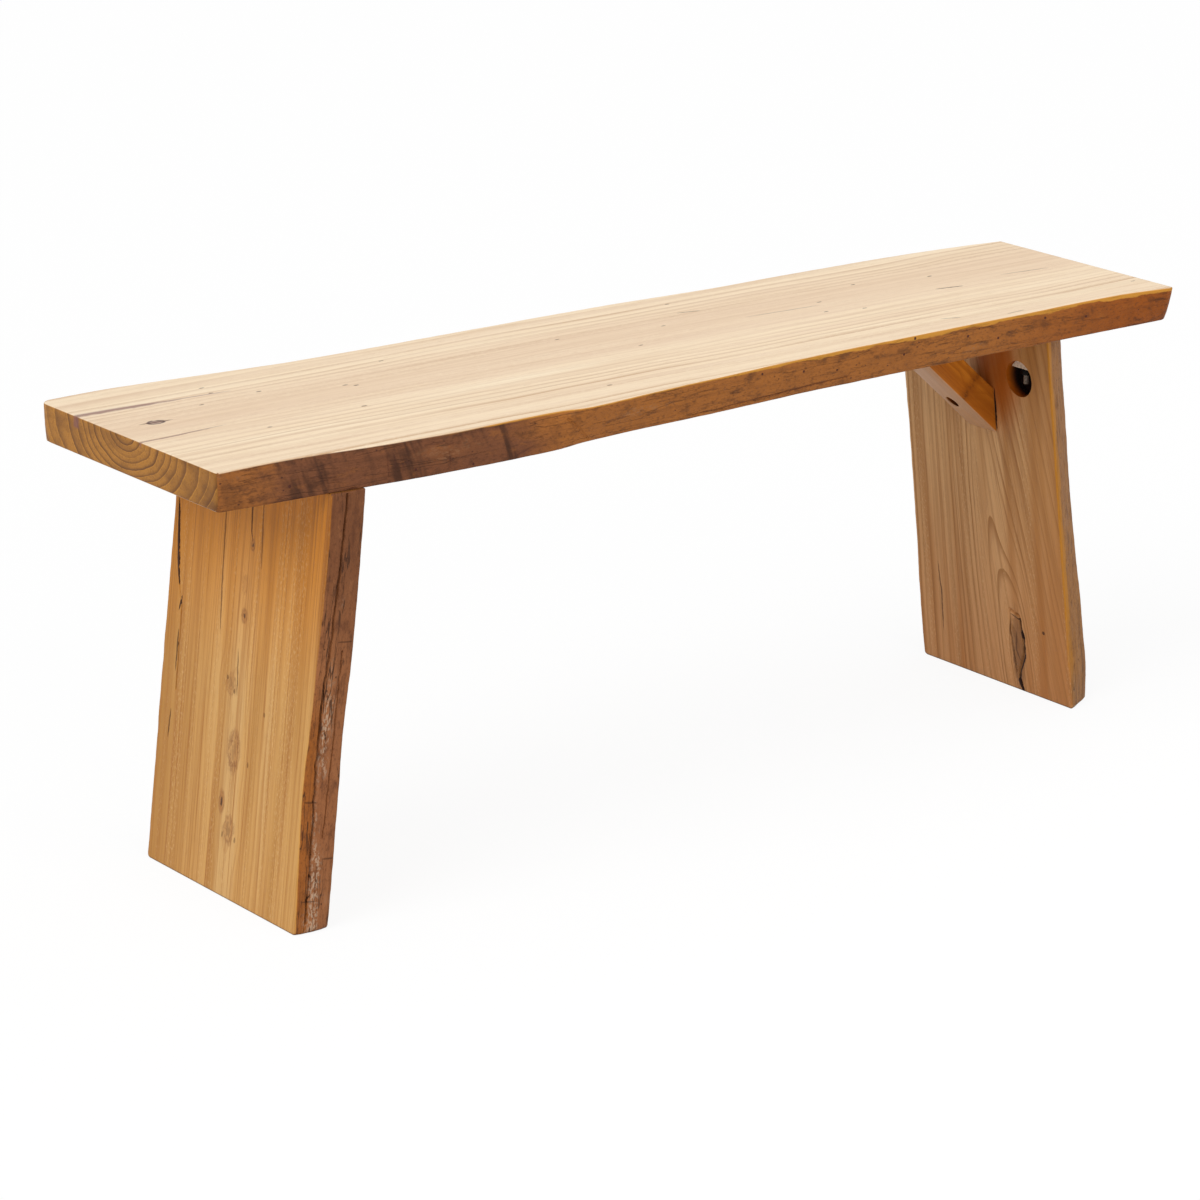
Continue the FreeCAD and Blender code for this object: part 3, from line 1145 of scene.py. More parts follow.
@dataclass(frozen=True)
class SteelFinish:
    """Plated or bare metal with faint clouds and scratches."""

    name: str
    colour: Colour
    worn: Colour
    roughness: float
    metallic: float = 1.0

    def material(self) -> bpy.types.Material:
        """Builds the material.

        Returns:
            The material, in mm on the shared frame's axes.
        """
        sh = Shader(self.name)
        x, y, z = (sh.axis(Vector(d), Vector()) for d in ((1, 0, 0), (0, 1, 0), (0, 0, 1)))
        cloud = sh.noise(x * 0.4, y * 0.4, z * 0.4, 4.0)
        scratch = sh.noise(x * 2.0, y * 2.0, z * 9.0, 2.0)
        colour = sh.mix(cloud.step(0.40, 0.70), self.colour, self.worn)
        roughness = self.roughness + cloud * 0.2
        sh.finish(colour, roughness, scratch * 0.03, {"Metallic": self.metallic})
        return sh.material


@dataclass(frozen=True)
class Groove:
    """A crack that is carved into a face of a board.

    The path runs in metres along the board and across the carved face, on the board's own box. Axis is
    the box axis that the face looks along, and sign its direction.
    """

    path: tuple[Point2, ...]
    axis: int
    sign: int
    width: float
    depth: float


def as_object(bm: bmesh.types.BMesh, name: str) -> bpy.types.Object:
    """Turns a bmesh into an object of the scene, with normals outwards and smooth faces.

    Args:
        bm: the mesh, which is freed.
        name: the object's name.

    Returns:
        The object, at the origin.
    """
    bmesh.ops.recalc_face_normals(bm, faces=bm.faces[:])
    mesh = bpy.data.meshes.new(name)
    bm.to_mesh(mesh)
    bm.free()
    mesh.shade_smooth()
    mesh.set_sharp_from_angle(angle=SHARP_ANGLE)
    piece = bpy.data.objects.new(name, mesh)
    bpy.context.scene.collection.objects.link(piece)
    return piece


def ease(bm: bmesh.types.BMesh, offset: float, segments: int) -> None:
    """Rounds every edge of a mesh.

    Args:
        bm: the mesh.
        offset: how far from the edge the rounding starts.
        segments: into how many strips it is cut.
    """
    bmesh.ops.bevel(bm, geom=bm.edges[:], offset=offset, offset_type="OFFSET", affect="EDGES",
                    segments=segments, profile=0.5, material=-1, clamp_overlap=True)


def drill(piece: bpy.types.Object, bores: list[Bore]) -> None:
    """Cuts round holes out of a piece.

    Args:
        piece: the piece, whose mesh is replaced.
        bores: the holes.
    """
    cutters = [bore.cutter() for bore in bores]
    for cutter in cutters:
        cut = piece.modifiers.new("bore", "BOOLEAN")
        cut.operation = "DIFFERENCE"
        cut.solver = "EXACT"
        cut.object = cutter
    bpy.context.view_layer.update()
    solid = piece.evaluated_get(bpy.context.evaluated_depsgraph_get())
    whole, bored = piece.data, bpy.data.meshes.new_from_object(solid)
    piece.modifiers.clear()
    piece.data = bored
    bored.name = piece.name
    bpy.data.meshes.remove(whole)
    for cutter in cutters:
        bpy.data.meshes.remove(cutter.data)
    bored.set_sharp_from_angle(angle=SHARP_ANGLE)


def take_place(piece: bpy.types.Object, node: str, slot: str, material: bpy.types.Material) -> None:
    """Puts a dressed piece in the place of a CAD node.

    Args:
        piece: the piece.
        node: the CAD node.
        slot: the record's material slot; not used.
        material: the piece's finish.
    """
    piece.data.materials.clear()
    piece.data.materials.append(material)
    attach(piece, BODY)
    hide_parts(node)
    log.info("%s: %d faces", piece.name, len(piece.data.polygons))


def relief(along: float, height: float, seed: float, swell: float, grit: float) -> float:
    """Uneven surface of a live edge.

    Args:
        along, height: the place on the edge.
        seed: sets one edge apart from another.
        swell: size of the broad waves.
        grit: size of the fine ones.

    Returns:
        How far the surface stands out.
    """
    broad = noise.noise(Vector((along * BROAD_WAVES[0], height * BROAD_WAVES[1], seed)))
    fine_place = Vector((along * FINE_WAVES[0], height * FINE_WAVES[1], seed + FINE_SHIFT))
    return broad * swell + noise.fractal(fine_place, *FINE_OCTAVES) * grit


def rounded(near: float, far: float, radius: float) -> tuple[float, float]:
    """Moves a point of a square corner onto a round one.

    Args:
        near, far: distances in from the corner's two sides.
        radius: the corner's radius.

    Returns:
        The new distances.
    """
    if near >= radius or far >= radius:
        return near, far
    u, v = 1 - near / radius, 1 - far / radius
    scale = max(u, v) / math.hypot(u, v)
    return radius * (1 - u * scale), radius * (1 - v * scale)


@dataclass
class Slab:
    """A board with two live edges, shaped from a finely cut box.

    The box runs along the grain on its first axis, across it on its second and through the board on its
    third. Cells says into how many each side is cut, coarse and then fine. Wane is the most that a live edge
    falls back, crown how far it bulges, and swell and grit are the sizes of its broad and fine waves, which
    the seeds set apart.
    """

    name: str
    node: str
    slot: str
    sides: tuple[float, float, float]
    cells: tuple[tuple[int, ...], ...]
    arris: float = 1.3 * MM
    crowding: float = 1.0
    grooves: tuple[Groove, ...] = ()
    wane: float = LEG_WANE
    crown: float = 1.0 * MM
    swell: float = 1.0 * MM
    grit: float = 0.5 * MM
    front_seed: float = 41.0
    back_seed: float = 61.0

    def blank(self) -> bmesh.types.BMesh:
        """Makes the finely cut box with rounded arrises.

        Returns:
            The box, round the origin.
        """
        bm = bmesh.new()
        bmesh.ops.create_cube(bm, size=1.0)
        bmesh.ops.scale(bm, vec=self.sides, verts=bm.verts[:])
        ease(bm, self.arris, 3)
        for axis, rounds in enumerate(self.cells):
            for count in rounds:
                edges = [edge for edge in bm.edges if self._runs_along(edge, axis)]
                bmesh.ops.subdivide_edges(bm, edges=edges, cuts=count - 1, use_grid_fill=True)
        flat = self.sides[1] / 2 - self.arris
        for vert in bm.verts:
            share = abs(vert.co.y) / flat
            if share < 1.0:
                crowded = 1.0 - (1.0 - share) ** self.crowding
                vert.co.y = math.copysign(flat * crowded, vert.co.y)
        return bm

    def _runs_along(self, edge: bmesh.types.BMEdge, axis: int) -> bool:
        """Whether an edge of the box runs along an axis and isn't part of a rounded corner."""
        run = edge.verts[1].co - edge.verts[0].co
        return abs(run[axis]) > max(LONG_EDGE * self.arris, STRAIGHT * run.length)

    def mark_edges(self, bm: bmesh.types.BMesh) -> None:
        """Marks how far each vertex lies past the arris of a live edge and of a sawn end, in mm.

        Args:
            bm: the box.
        """
        edge = bm.verts.layers.float.new("edge")
        end = bm.verts.layers.float.new("end")
        for vert in bm.verts:
            along, across, through = ((side / 2 - abs(co)) / MM for side, co in zip(self.sides, vert.co))
            vert[edge] = max(0.0, ARRIS_MARK + min(along, through) - across)
            vert[end] = max(0.0, ARRIS_MARK + min(across, through) - along)

    def carve(self, bm: bmesh.types.BMesh, groove: Groove) -> None:
        """Cuts the faces round a crack finely and sinks them.

        Args:
            bm: the box.
            groove: the crack.
        """
        second = 1 if groove.axis == 2 else 2
        level = groove.sign * self.sides[groove.axis] / 2
        wander = groove.width * CRACK_WANDER

        def away(place: Vector) -> float:
            """Distance from the crack, which wanders a little."""
            wave = noise.noise(Vector((place.x * CRACK_WAVES, place[second] * CRACK_WAVES, CRACK_SEED)))
            return distance_to_path(groove.path, (place.x, place[second] + wave * wander))

        low = min(p[0] for p in groove.path) - 2 * groove.width
        high = max(p[0] for p in groove.path) + 2 * groove.width
        faces = []
        for face in bm.faces:
            middle = face.calc_center_median()
            if low < middle.x < high and abs(middle[groove.axis] - level) < ON_FACE:
                reach = max(edge.calc_length() for edge in face.edges)
                if away(middle) < groove.width + reach:
                    faces.append(face)
        edges = list(dict.fromkeys(edge for face in faces for edge in face.edges))
        bmesh.ops.subdivide_edges(bm, edges=edges, cuts=3, use_grid_fill=True)
        for vert in bm.verts:
            if low < vert.co.x < high and abs(vert.co[groove.axis] - level) < ON_FACE:
                share = away(vert.co) / groove.width
                if share < 1.0:
                    vert.co[groove.axis] -= groove.sign * groove.depth * (1.0 - share * share)

    def fall(self, spot: Vector, rows: Rows, share: float, column: int, weight: float, seed: float) -> float:
        """How far a live edge falls back from the overall width.

        Args:
            spot: a point of the box.
            rows: the edge's table.
            share: where along the table the point lies.
            column: the column of one face; the next column is the other face's.
            weight: how near the point is to the first of them, from 0 to 1.
            seed: sets one edge's waves apart from another's.

        Returns:
            The distance.
        """
        first, second = on_curve(rows, share, column), on_curve(rows, share, column + 1)
        lift = spot.z / self.sides[2] + 0.5
        crown = 4 * lift * (1 - lift) * self.crown
        rough = relief(spot.x, spot.z, seed, self.swell, self.grit)
        return (second + (first - second) * weight) * self.wane - crown - rough

    def fit(self, spot: Vector, front: float, back: float, end_gap: float, radius: float) -> Point2:
        """Fits a point between the live edges, with a rounded corner at the board's end.

        Args:
            spot: a point of the box.
            front, back: where the edges lie there.
            end_gap: how far the point is from the end.
            radius: the corner's radius.

        Returns:
            The new distance from the end, and the place across.
        """
        y = front + (back - front) * (spot.y / self.sides[1] + 0.5)
        side_gap = y - front if spot.y < 0 else back - y
        end_gap, side_gap = rounded(end_gap, side_gap, radius)
        return end_gap, front + side_gap if spot.y < 0 else back - side_gap

    def place(self, spot: Vector) -> Vector:
        """Where a point of the box goes in the shared frame."""
        raise NotImplementedError

    def bores(self) -> list[Bore]:
        """The round holes in the board."""
        raise NotImplementedError

    def wood(self) -> WoodFinish:
        """The board's finish."""
        raise NotImplementedError

    def build(self) -> bpy.types.Object:
        """Shapes the board, bores it and puts it in place of its CAD node.

        Returns:
            The piece.
        """
        bm = self.blank()
        self.mark_edges(bm)
        for groove in self.grooves:
            self.carve(bm, groove)
        for vert in bm.verts:
            vert.co = self.place(vert.co)
        piece = as_object(bm, self.name)
        drill(piece, self.bores())
        take_place(piece, self.node, self.slot, self.wood().material())
        return piece


@dataclass
class SeatSlab(Slab):
    """The seat: a thick board with sawn ends."""

    corner: float = 4 * MM
    worn_corner: float = 12 * MM
    soft_end: float = 6 * MM
    datum: float = SEAT_TOP + 2 * MM
    wane: float = SEAT_WANE
    crown: float = 1.2 * MM
    swell: float = 0.9 * MM
    grit: float = 0.35 * MM
    front_seed: float = 1.0
    back_seed: float = 21.0
    bolts: tuple[Vector, ...] = ()
    brace_screws: tuple[Vector, ...] = ()

    def place(self, spot: Vector) -> Vector:
        """Where a point of the box goes.

        Args:
            spot: the point.

        Returns:
            Its place in the shared frame.
        """
        share = round(spot.x / SEAT_LENGTH, 6)
        lift = spot.z / SEAT_THICKNESS + 0.5
        front = -SEAT_WIDTH / 2 + self.fall(spot, SEAT_FRONT_SHARES, share, 1, lift, self.front_seed)
        back = SEAT_WIDTH / 2 - self.fall(spot, SEAT_BACK_SHARES, share, 1, lift, self.back_seed)
        radius = self.worn_corner if spot.x * spot.y < 0 else self.corner
        end_gap, y = self.fit(spot, front, back, SEAT_LENGTH / 2 - abs(spot.x), radius)
        x = math.copysign(SEAT_LENGTH / 2 - end_gap, spot.x)
        drop = SEAT_THICKNESS * (1 - lift)
        if spot.x > 0:
            end_gap, drop = rounded(SEAT_LENGTH / 2 - x, drop, self.soft_end)
            x = SEAT_LENGTH / 2 - end_gap
        return Vector((x, y, SEAT_TOP - drop))

    def bores(self) -> list[Bore]:
        """Blind holes from below, for the threaded inserts and the braces' screws.

        Returns:
            The holes.
        """
        under = UP * OVERSHOOT
        holes = [Bore(p - under, UP, INSERT_DEPTH + OVERSHOOT, INSERT_HOLE) for p in self.bolts]
        holes += [Bore(p - under, UP, PILOT_DEPTH + OVERSHOOT, PILOT_HOLE) for p in self.brace_screws]
        return holes

    def wood(self) -> WoodFinish:
        """The seat's finish.

        Returns:
            The finish, measured from just above the middle of the seat's top.
        """
        axes = Axes(UP * self.datum, Vector((1, 0, 0)), BACKWARDS, UP, FAR)
        return WoodFinish("seat_wood", axes, seat_look())


@dataclass
class SlabLeg(Slab):
    """A leg: a board that leans outwards, sawn flat at the floor and under the seat."""

    side: Side = Side.LEFT
    foot_reach: float = 0.531
    middle: float = 0.0
    brace_middle: float = 0.0
    edge_shares: Rows = ()
    foot_corner: float = 4 * MM
    ridge: float = 1.0
    look: Optional[BoardLook] = None

    def reach(self, depth: float, height: float) -> float:
        """Distance from the bench's middle to the leg, at a depth behind its outer face."""
        return self.foot_reach - depth / math.cos(SPLAY) - height * math.tan(SPLAY)

    def place(self, spot: Vector) -> Vector:
        """Where a point of the box goes.

        Args:
            spot: the point.

        Returns:
            Its place in the shared frame.
        """
        height = spot.x + UNDERSIDE / 2
        depth = spot.z + LEG_THICKNESS / 2
        rows, share = self.edge_shares, round(height / UNDERSIDE, 6)
        outer = max(0.0, 1 - depth / LEG_THICKNESS) ** self.ridge
        way, half = self.side.value, self.sides[1] / 2
        front = self.middle - half + self.fall(spot, rows, share, 1, outer, self.front_seed + way)
        back = self.middle + half - self.fall(spot, rows, share, 3, outer, self.back_seed + way)
        height, y = self.fit(spot, front, back, height, self.foot_corner)
        return Vector((way * self.reach(depth, height), y, height))

    def bolts(self) -> list[Vector]:
        """Middle lines of the leg's two bolts, at the seat's underside."""
        x = self.side.value * self.reach(LEG_THICKNESS / 2, UNDERSIDE)
        return [Vector((x, self.brace_middle + step * BOLT_SPACING / 2, UNDERSIDE)) for step in (-1, 1)]

    def brace_corner(self) -> tuple[Vector, Vector, Vector]:
        """Finds the corner that the brace fills.

        Returns:
            The inner corner of leg and seat at the brace's middle, and the ways down the leg and along the
            seat.
        """
        side = self.side.value
        corner = Vector((side * self.reach(LEG_THICKNESS, UNDERSIDE), self.brace_middle, UNDERSIDE))
        return corner, Vector((side * math.sin(SPLAY), 0, -math.cos(SPLAY))), Vector((-side, 0, 0))

    def brace_lines(self) -> list[tuple[Vector, Vector]]:
        """Middle lines of the brace's screws.

        Returns:
            Where each crosses the brace's mitre, and its direction: into the leg, then into the seat.
        """
        corner, down, along_seat = self.brace_corner()
        corner = corner + BACKWARDS * SCREW_OFFSET
        into_leg = Vector((self.side.value * math.cos(SPLAY), 0, math.sin(SPLAY)))
        return [(corner + down * SCREW_REACH, into_leg), (corner + along_seat * SCREW_REACH, UP)]

    def access_bores(self) -> list[Bore]:
        """The two holes that a spanner reaches the nuts through.

        Returns:
            The holes.
        """
        outwards = Vector((self.side.value, 0, 0))
        start = UP * (ACCESS_HEIGHT - UNDERSIDE) - outwards * LEG_THICKNESS
        length = LEG_THICKNESS + ACCESS_BACK
        return [Bore(bolt + start, outwards, length, ACCESS_DIAMETER) for bolt in self.bolts()]

    def bores(self) -> list[Bore]:
        """Access holes, the studs' holes and the pilot hole of the brace's screw.

        Returns:
            The holes.
        """
        holes = self.access_bores()
        for bolt in self.bolts():
            bottom = Vector((bolt.x, bolt.y, ACCESS_HEIGHT))
            holes.append(Bore(bottom, UP, UNDERSIDE - ACCESS_HEIGHT + OVERSHOOT, STUD_HOLE))
        point, into_leg = self.brace_lines()[0]
        holes.append(Bore(point - into_leg * OVERSHOOT, into_leg, PILOT_DEPTH + OVERSHOOT, PILOT_HOLE))
        return holes

    def wood(self) -> WoodFinish:
        """The leg's finish.

        Returns:
            The finish, on axes that lean with the leg and start at its outer foot.
        """
        way = self.side.value
        grain = Vector((-way * math.sin(SPLAY), 0, math.cos(SPLAY)))
        inwards = Vector((-way * math.cos(SPLAY), 0, -math.sin(SPLAY)))
        foot = Vector((way * self.foot_reach, 0, 0))
        axes = Axes(foot, grain, BACKWARDS, inwards, LEG_THICKNESS / MM)
        marks = replace(self.look.marks, bores=tuple(self.access_bores()))
        return WoodFinish(self.side.name.lower() + "_leg_wood", axes, replace(self.look, marks=marks))


@dataclass
class Brace:
    """A mitred strut between a leg and the seat, with a screw sunk into each end."""

    leg: SlabLeg
    arris: float = 1.2 * MM

    def build(self) -> bpy.types.Object:
        """Shapes the strut and puts it in place of its CAD node.

        Returns:
            The piece.
        """
        name = self.leg.side.name.lower() + "_brace"
        corner, down, along_seat = self.leg.brace_corner()
        inner = BRACE_REACH - BRACE_DEPTH / math.sin(BRACE_ANGLE)
        half = BACKWARDS * (BRACE_WIDTH / 2)
        outline = (along_seat * BRACE_REACH, down * BRACE_REACH, down * inner, along_seat * inner)
        bm = bmesh.new()
        face = bm.faces.new([bm.verts.new(corner + point - half) for point in outline])
        raised = bmesh.ops.extrude_face_region(bm, geom=[face])["geom"]
        far_side = [item for item in raised if isinstance(item, bmesh.types.BMVert)]
        bmesh.ops.translate(bm, vec=half * 2, verts=far_side)
        bmesh.ops.recalc_face_normals(bm, faces=bm.faces[:])
        ease(bm, self.arris, 2)
        piece = as_object(bm, name + "_strut")
        counterbores, shanks = self.screw_bores()
        drill(piece, counterbores + shanks)
        take_place(piece, name, "brace_wood", self.wood(counterbores).material())
        return piece

    def screw_bores(self) -> tuple[list[Bore], list[Bore]]:
        """The holes for the brace's screws.

        Returns:
            Counterbores for the heads, and holes for the shanks.
        """
        counterbores, shanks = [], []
        for point, way in self.leg.brace_lines():
            head = point - way * SCREW_GRIP
            counterbores.append(Bore(head - way * BRACE_LENGTH, way, BRACE_LENGTH, COUNTERBORE))
            shanks.append(Bore(head - way * OVERSHOOT, way, SCREW_GRIP + 2 * OVERSHOOT, SHANK_HOLE))
        return counterbores, shanks

    def wood(self, counterbores: list[Bore]) -> WoodFinish:
        """The brace's finish, with its grain along the strut and its lower face unlacquered and paler
        with a painted reflection of the white floor.

        Args:
            counterbores: the holes whose walls get painted shade.

        Returns:
            The finish.
        """
        corner, _, along_seat = self.leg.brace_corner()
        side = self.leg.side.value
        grain = Vector((side * math.cos(BRACE_ANGLE), 0, -math.sin(BRACE_ANGLE)))
        up = Vector((side * math.sin(BRACE_ANGLE), 0, math.cos(BRACE_ANGLE)))
        axes = Axes(corner + along_seat * BRACE_REACH, grain, BACKWARDS, up, FAR)
        look = brace_look(self.leg.brace_middle / MM)
        marks = replace(look.marks, bores=tuple(counterbores))
        return WoodFinish(self.leg.side.name.lower() + "_brace_wood", axes, replace(look, marks=marks))


@dataclass
class Hardware:
    """The bolts, inserts and screws, which keep their CAD shapes."""

    zinc: SteelFinish
    dull: SteelFinish
    dark: SteelFinish
    brass: SteelFinish

    def kinds(self) -> tuple[tuple[tuple[str, ...], SteelFinish], ...]:
        """The endings of the fasteners' names, with the finish of each kind."""
        return ((("_half_moon", "_screw"), self.zinc), (("_stud",), self.dull),
                (("_nut", "_spring_washer"), self.dark), (("_insert",), self.brass))

    def dress(self) -> None:
        """Gives each fastener its finish."""
        for endings, finish in self.kinds():
            material = finish.material()
            for name, node in sorted(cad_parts.items()):
                if name.endswith(endings):
                    node.data.materials.clear()
                    node.data.materials.append(material)
                    log.info("%s: %s", name, finish.name)


@dataclass
class Studio:
    """White floor and backdrop, soft light and the camera."""

    floor_size: float = 14.0
    floor_colour: Colour = (0.62, 0.62, 0.62, 1.0)
    floor_seen: Colour = (0.97, 0.97, 0.97, 1.0)
    floor_glow: float = 0.90
    world_light: float = 0.60
    key_place: Point3 = (-3.0, -0.48, 2.6)
    key_strength: float = 1.65
    key_angle: float = math.radians(42)
    front_place: Point3 = (-0.2, -3.6, 1.8)
    front_aim: Point3 = (0.0, 0.0, 0.25)
    front_size: float = 2.6
    front_power: float = 50.0
    eye: Point3 = (-2.6225, -3.3769, 1.5484)
    yaw: float = math.radians(52.71)
    pitch: float = math.radians(17.64)
    roll: float = math.radians(0.06)
    lens: float = 131.77
    sensor: float = 36.0
    sight: float = 50.0

    def build(self) -> None:
        """Makes the floor, world, lamps and camera."""
        self._floor()
        self._world()
        key = {"energy": self.key_strength, "angle": self.key_angle}
        self._lamp("key", "SUN", Vector(self.key_place), Vector(), key)
        front = {"energy": self.front_power, "size": self.front_size}
        self._lamp("front", "AREA", Vector(self.front_place), Vector(self.front_aim), front)
        self._camera()
        bpy.context.scene.view_settings.view_transform = "Standard"

    def _floor(self) -> None:
        """A wide pale floor that glows white to the camera and still takes the bench's shadow."""
        bm = bmesh.new()
        bmesh.ops.create_grid(bm, x_segments=1, y_segments=1, size=self.floor_size / 2)
        floor = as_object(bm, "floor")
        material = bpy.data.materials.new("white_floor")
        material.use_nodes = True
        nodes = Nodes(material.node_tree)
        seen = self._seen(nodes)
        colour = nodes.mix(seen, self.floor_colour, self.floor_seen)
        matt = nodes.node("ShaderNodeBsdfDiffuse", {}, {"Color": colour}).outputs[0]
        glow = nodes.node("ShaderNodeEmission", {}, {"Color": (1.0, 1.0, 1.0, 1.0)}).outputs[0]
        both = {0: seen * self.floor_glow, 1: matt, 2: glow}
        mixed = nodes.node("ShaderNodeMixShader", {}, both).outputs[0]
        nodes.node("ShaderNodeOutputMaterial", {}, {"Surface": mixed})
        floor.data.materials.append(material)
        floor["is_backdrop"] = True

    def _seen(self, nodes: Nodes) -> Val:
        """Tells rays that show the backdrop from rays that it lights.

        Args:
            nodes: the tree that needs it.

        Returns:
            1 for what the camera, a reflection or glass shows.
        """
        path = nodes.node("ShaderNodeLightPath", {}, {})
        camera, glossy, through = (Val(nodes, path.outputs["Is " + kind + " Ray"])
                                   for kind in ("Camera", "Glossy", "Transmission"))
        return camera.most(glossy).most(through)

    def _world(self) -> None:
        """A backdrop that is white to the eye and dimmer as a light."""
        world = bpy.data.worlds.new("white_room")
        world.use_nodes = True
        bpy.context.scene.world = world
        nodes = Nodes(world.node_tree)
        strength = self.world_light + self._seen(nodes) * (1.0 - self.world_light)
        white = {"Color": (1.0, 1.0, 1.0, 1.0), "Strength": strength}
        light = nodes.node("ShaderNodeBackground", {}, white).outputs[0]
        nodes.node("ShaderNodeOutputWorld", {}, {"Surface": light})

    def _lamp(self, name: str, kind: str, place: Vector, aim: Vector, settings: dict[str, float]) -> None:
        """Adds a soft lamp.

        Args:
            name: its name.
            kind: the kind of light.
            place: where it stands.
            aim: the point that it looks at.
            settings: its strength and its size or angle.
        """
        data = bpy.data.lights.new(name, kind)
        for key, value in settings.items():
            setattr(data, key, value)
        lamp = bpy.data.objects.new(name, data)
        lamp.location = place
        lamp.rotation_euler = (aim - place).to_track_quat("-Z", "Y").to_euler()
        bpy.context.scene.collection.objects.link(lamp)

    def _camera(self) -> None:
        """Sets the camera where the photograph was taken from."""
        data = bpy.data.cameras.new("photo_view")
        data.lens = self.lens
        data.sensor_width = self.sensor
        data.clip_end = self.sight
        camera = bpy.data.objects.new("photo_view", data)
        level = math.cos(self.pitch)
        ahead = Vector((level * math.cos(self.yaw), level * math.sin(self.yaw), -math.sin(self.pitch)))
        turn = ahead.to_track_quat("-Z", "Y").to_matrix().to_4x4()
        place = Matrix.Translation(Vector(self.eye))
        camera.matrix_world = place @ turn @ Matrix.Rotation(self.roll, 4, "Z")
        bpy.context.scene.collection.objects.link(camera)
        bpy.context.scene.camera = camera


SEAT_PALETTE = Palette(
    early=tint(241, 218, 186), late=tint(200, 162, 122), cloud=tint(232, 206, 176),
    pale=tint(248, 231, 202), lane=tint(224, 194, 163), pore=tint(176, 136, 98),
    knot=tint(72, 48, 42), fill=tint(150, 120, 106), check=tint(74, 38, 28),
    end=tint(170, 114, 41), end_line=tint(98, 57, 16), bark=tint(112, 66, 38),
    bark_light=tint(160, 97, 38), bark_deep=tint(64, 33, 13), worn=tint(176, 130, 92),
    gold=tint(202, 140, 50), strip=tint(142, 71, 8), shade_and_stain=tint(122, 78, 76),
    hole_shadow=tint(30, 14, 8),
)
LEFT_LEG_PALETTE = Palette(
    early=tint(201, 152, 87), late=tint(156, 97, 34), cloud=tint(174, 122, 56),
    pale=tint(220, 182, 126), lane=tint(212, 172, 114), pore=tint(124, 74, 30),
    knot=tint(118, 66, 28), fill=tint(160, 104, 50), check=tint(60, 32, 14),
    end=tint(168, 114, 60), end_line=tint(110, 66, 28), bark=tint(128, 74, 40),
    bark_light=tint(164, 108, 66), bark_deep=tint(78, 40, 18), worn=tint(200, 170, 142),
    gold=tint(204, 142, 56), strip=tint(146, 82, 22), shade_and_stain=tint(204, 125, 10),
    hole_shadow=tint(26, 8, 5),
)
RIGHT_LEG_PALETTE = Palette(
    early=tint(219, 172, 119), late=tint(153, 100, 48), cloud=tint(165, 107, 44),
    pale=tint(225, 186, 136), lane=tint(216, 171, 117), pore=tint(128, 82, 42),
    knot=tint(76, 44, 22), fill=tint(124, 80, 42), check=tint(44, 22, 12),
    end=tint(168, 114, 60), end_line=tint(110, 66, 28), bark=tint(136, 88, 42),
    bark_light=tint(168, 118, 66), bark_deep=tint(96, 57, 26), worn=tint(200, 164, 124),
    gold=tint(180, 118, 31), strip=tint(172, 122, 72), shade_and_stain=tint(166, 84, 12),
    hole_shadow=tint(24, 6, 4),
)
BRACE_PALETTE = replace(
    RIGHT_LEG_PALETTE,
    early=tint(202, 123, 35), late=tint(148, 76, 12), cloud=tint(180, 102, 24),
    pale=tint(216, 145, 54), pore=tint(108, 54, 14), knot=tint(92, 46, 12),
    # worn here is the brace's paler lower face: unlacquered wood with a painted reflection of the white
    # floor.
    fill=tint(140, 74, 18), check=tint(42, 22, 10), worn=tint(196, 156, 120),
    shade_and_stain=tint(120, 60, 10), hole_shadow=tint(24, 8, 4),
)

# Path of the split in the knot at the right leg's foot, in mm along and across the leg.
KNOT_SPLIT: tuple[Point2, ...] = ((93, -30), (89, -44), (65, -49), (46, -49), (28, -41), (15, -38), (2, -44))


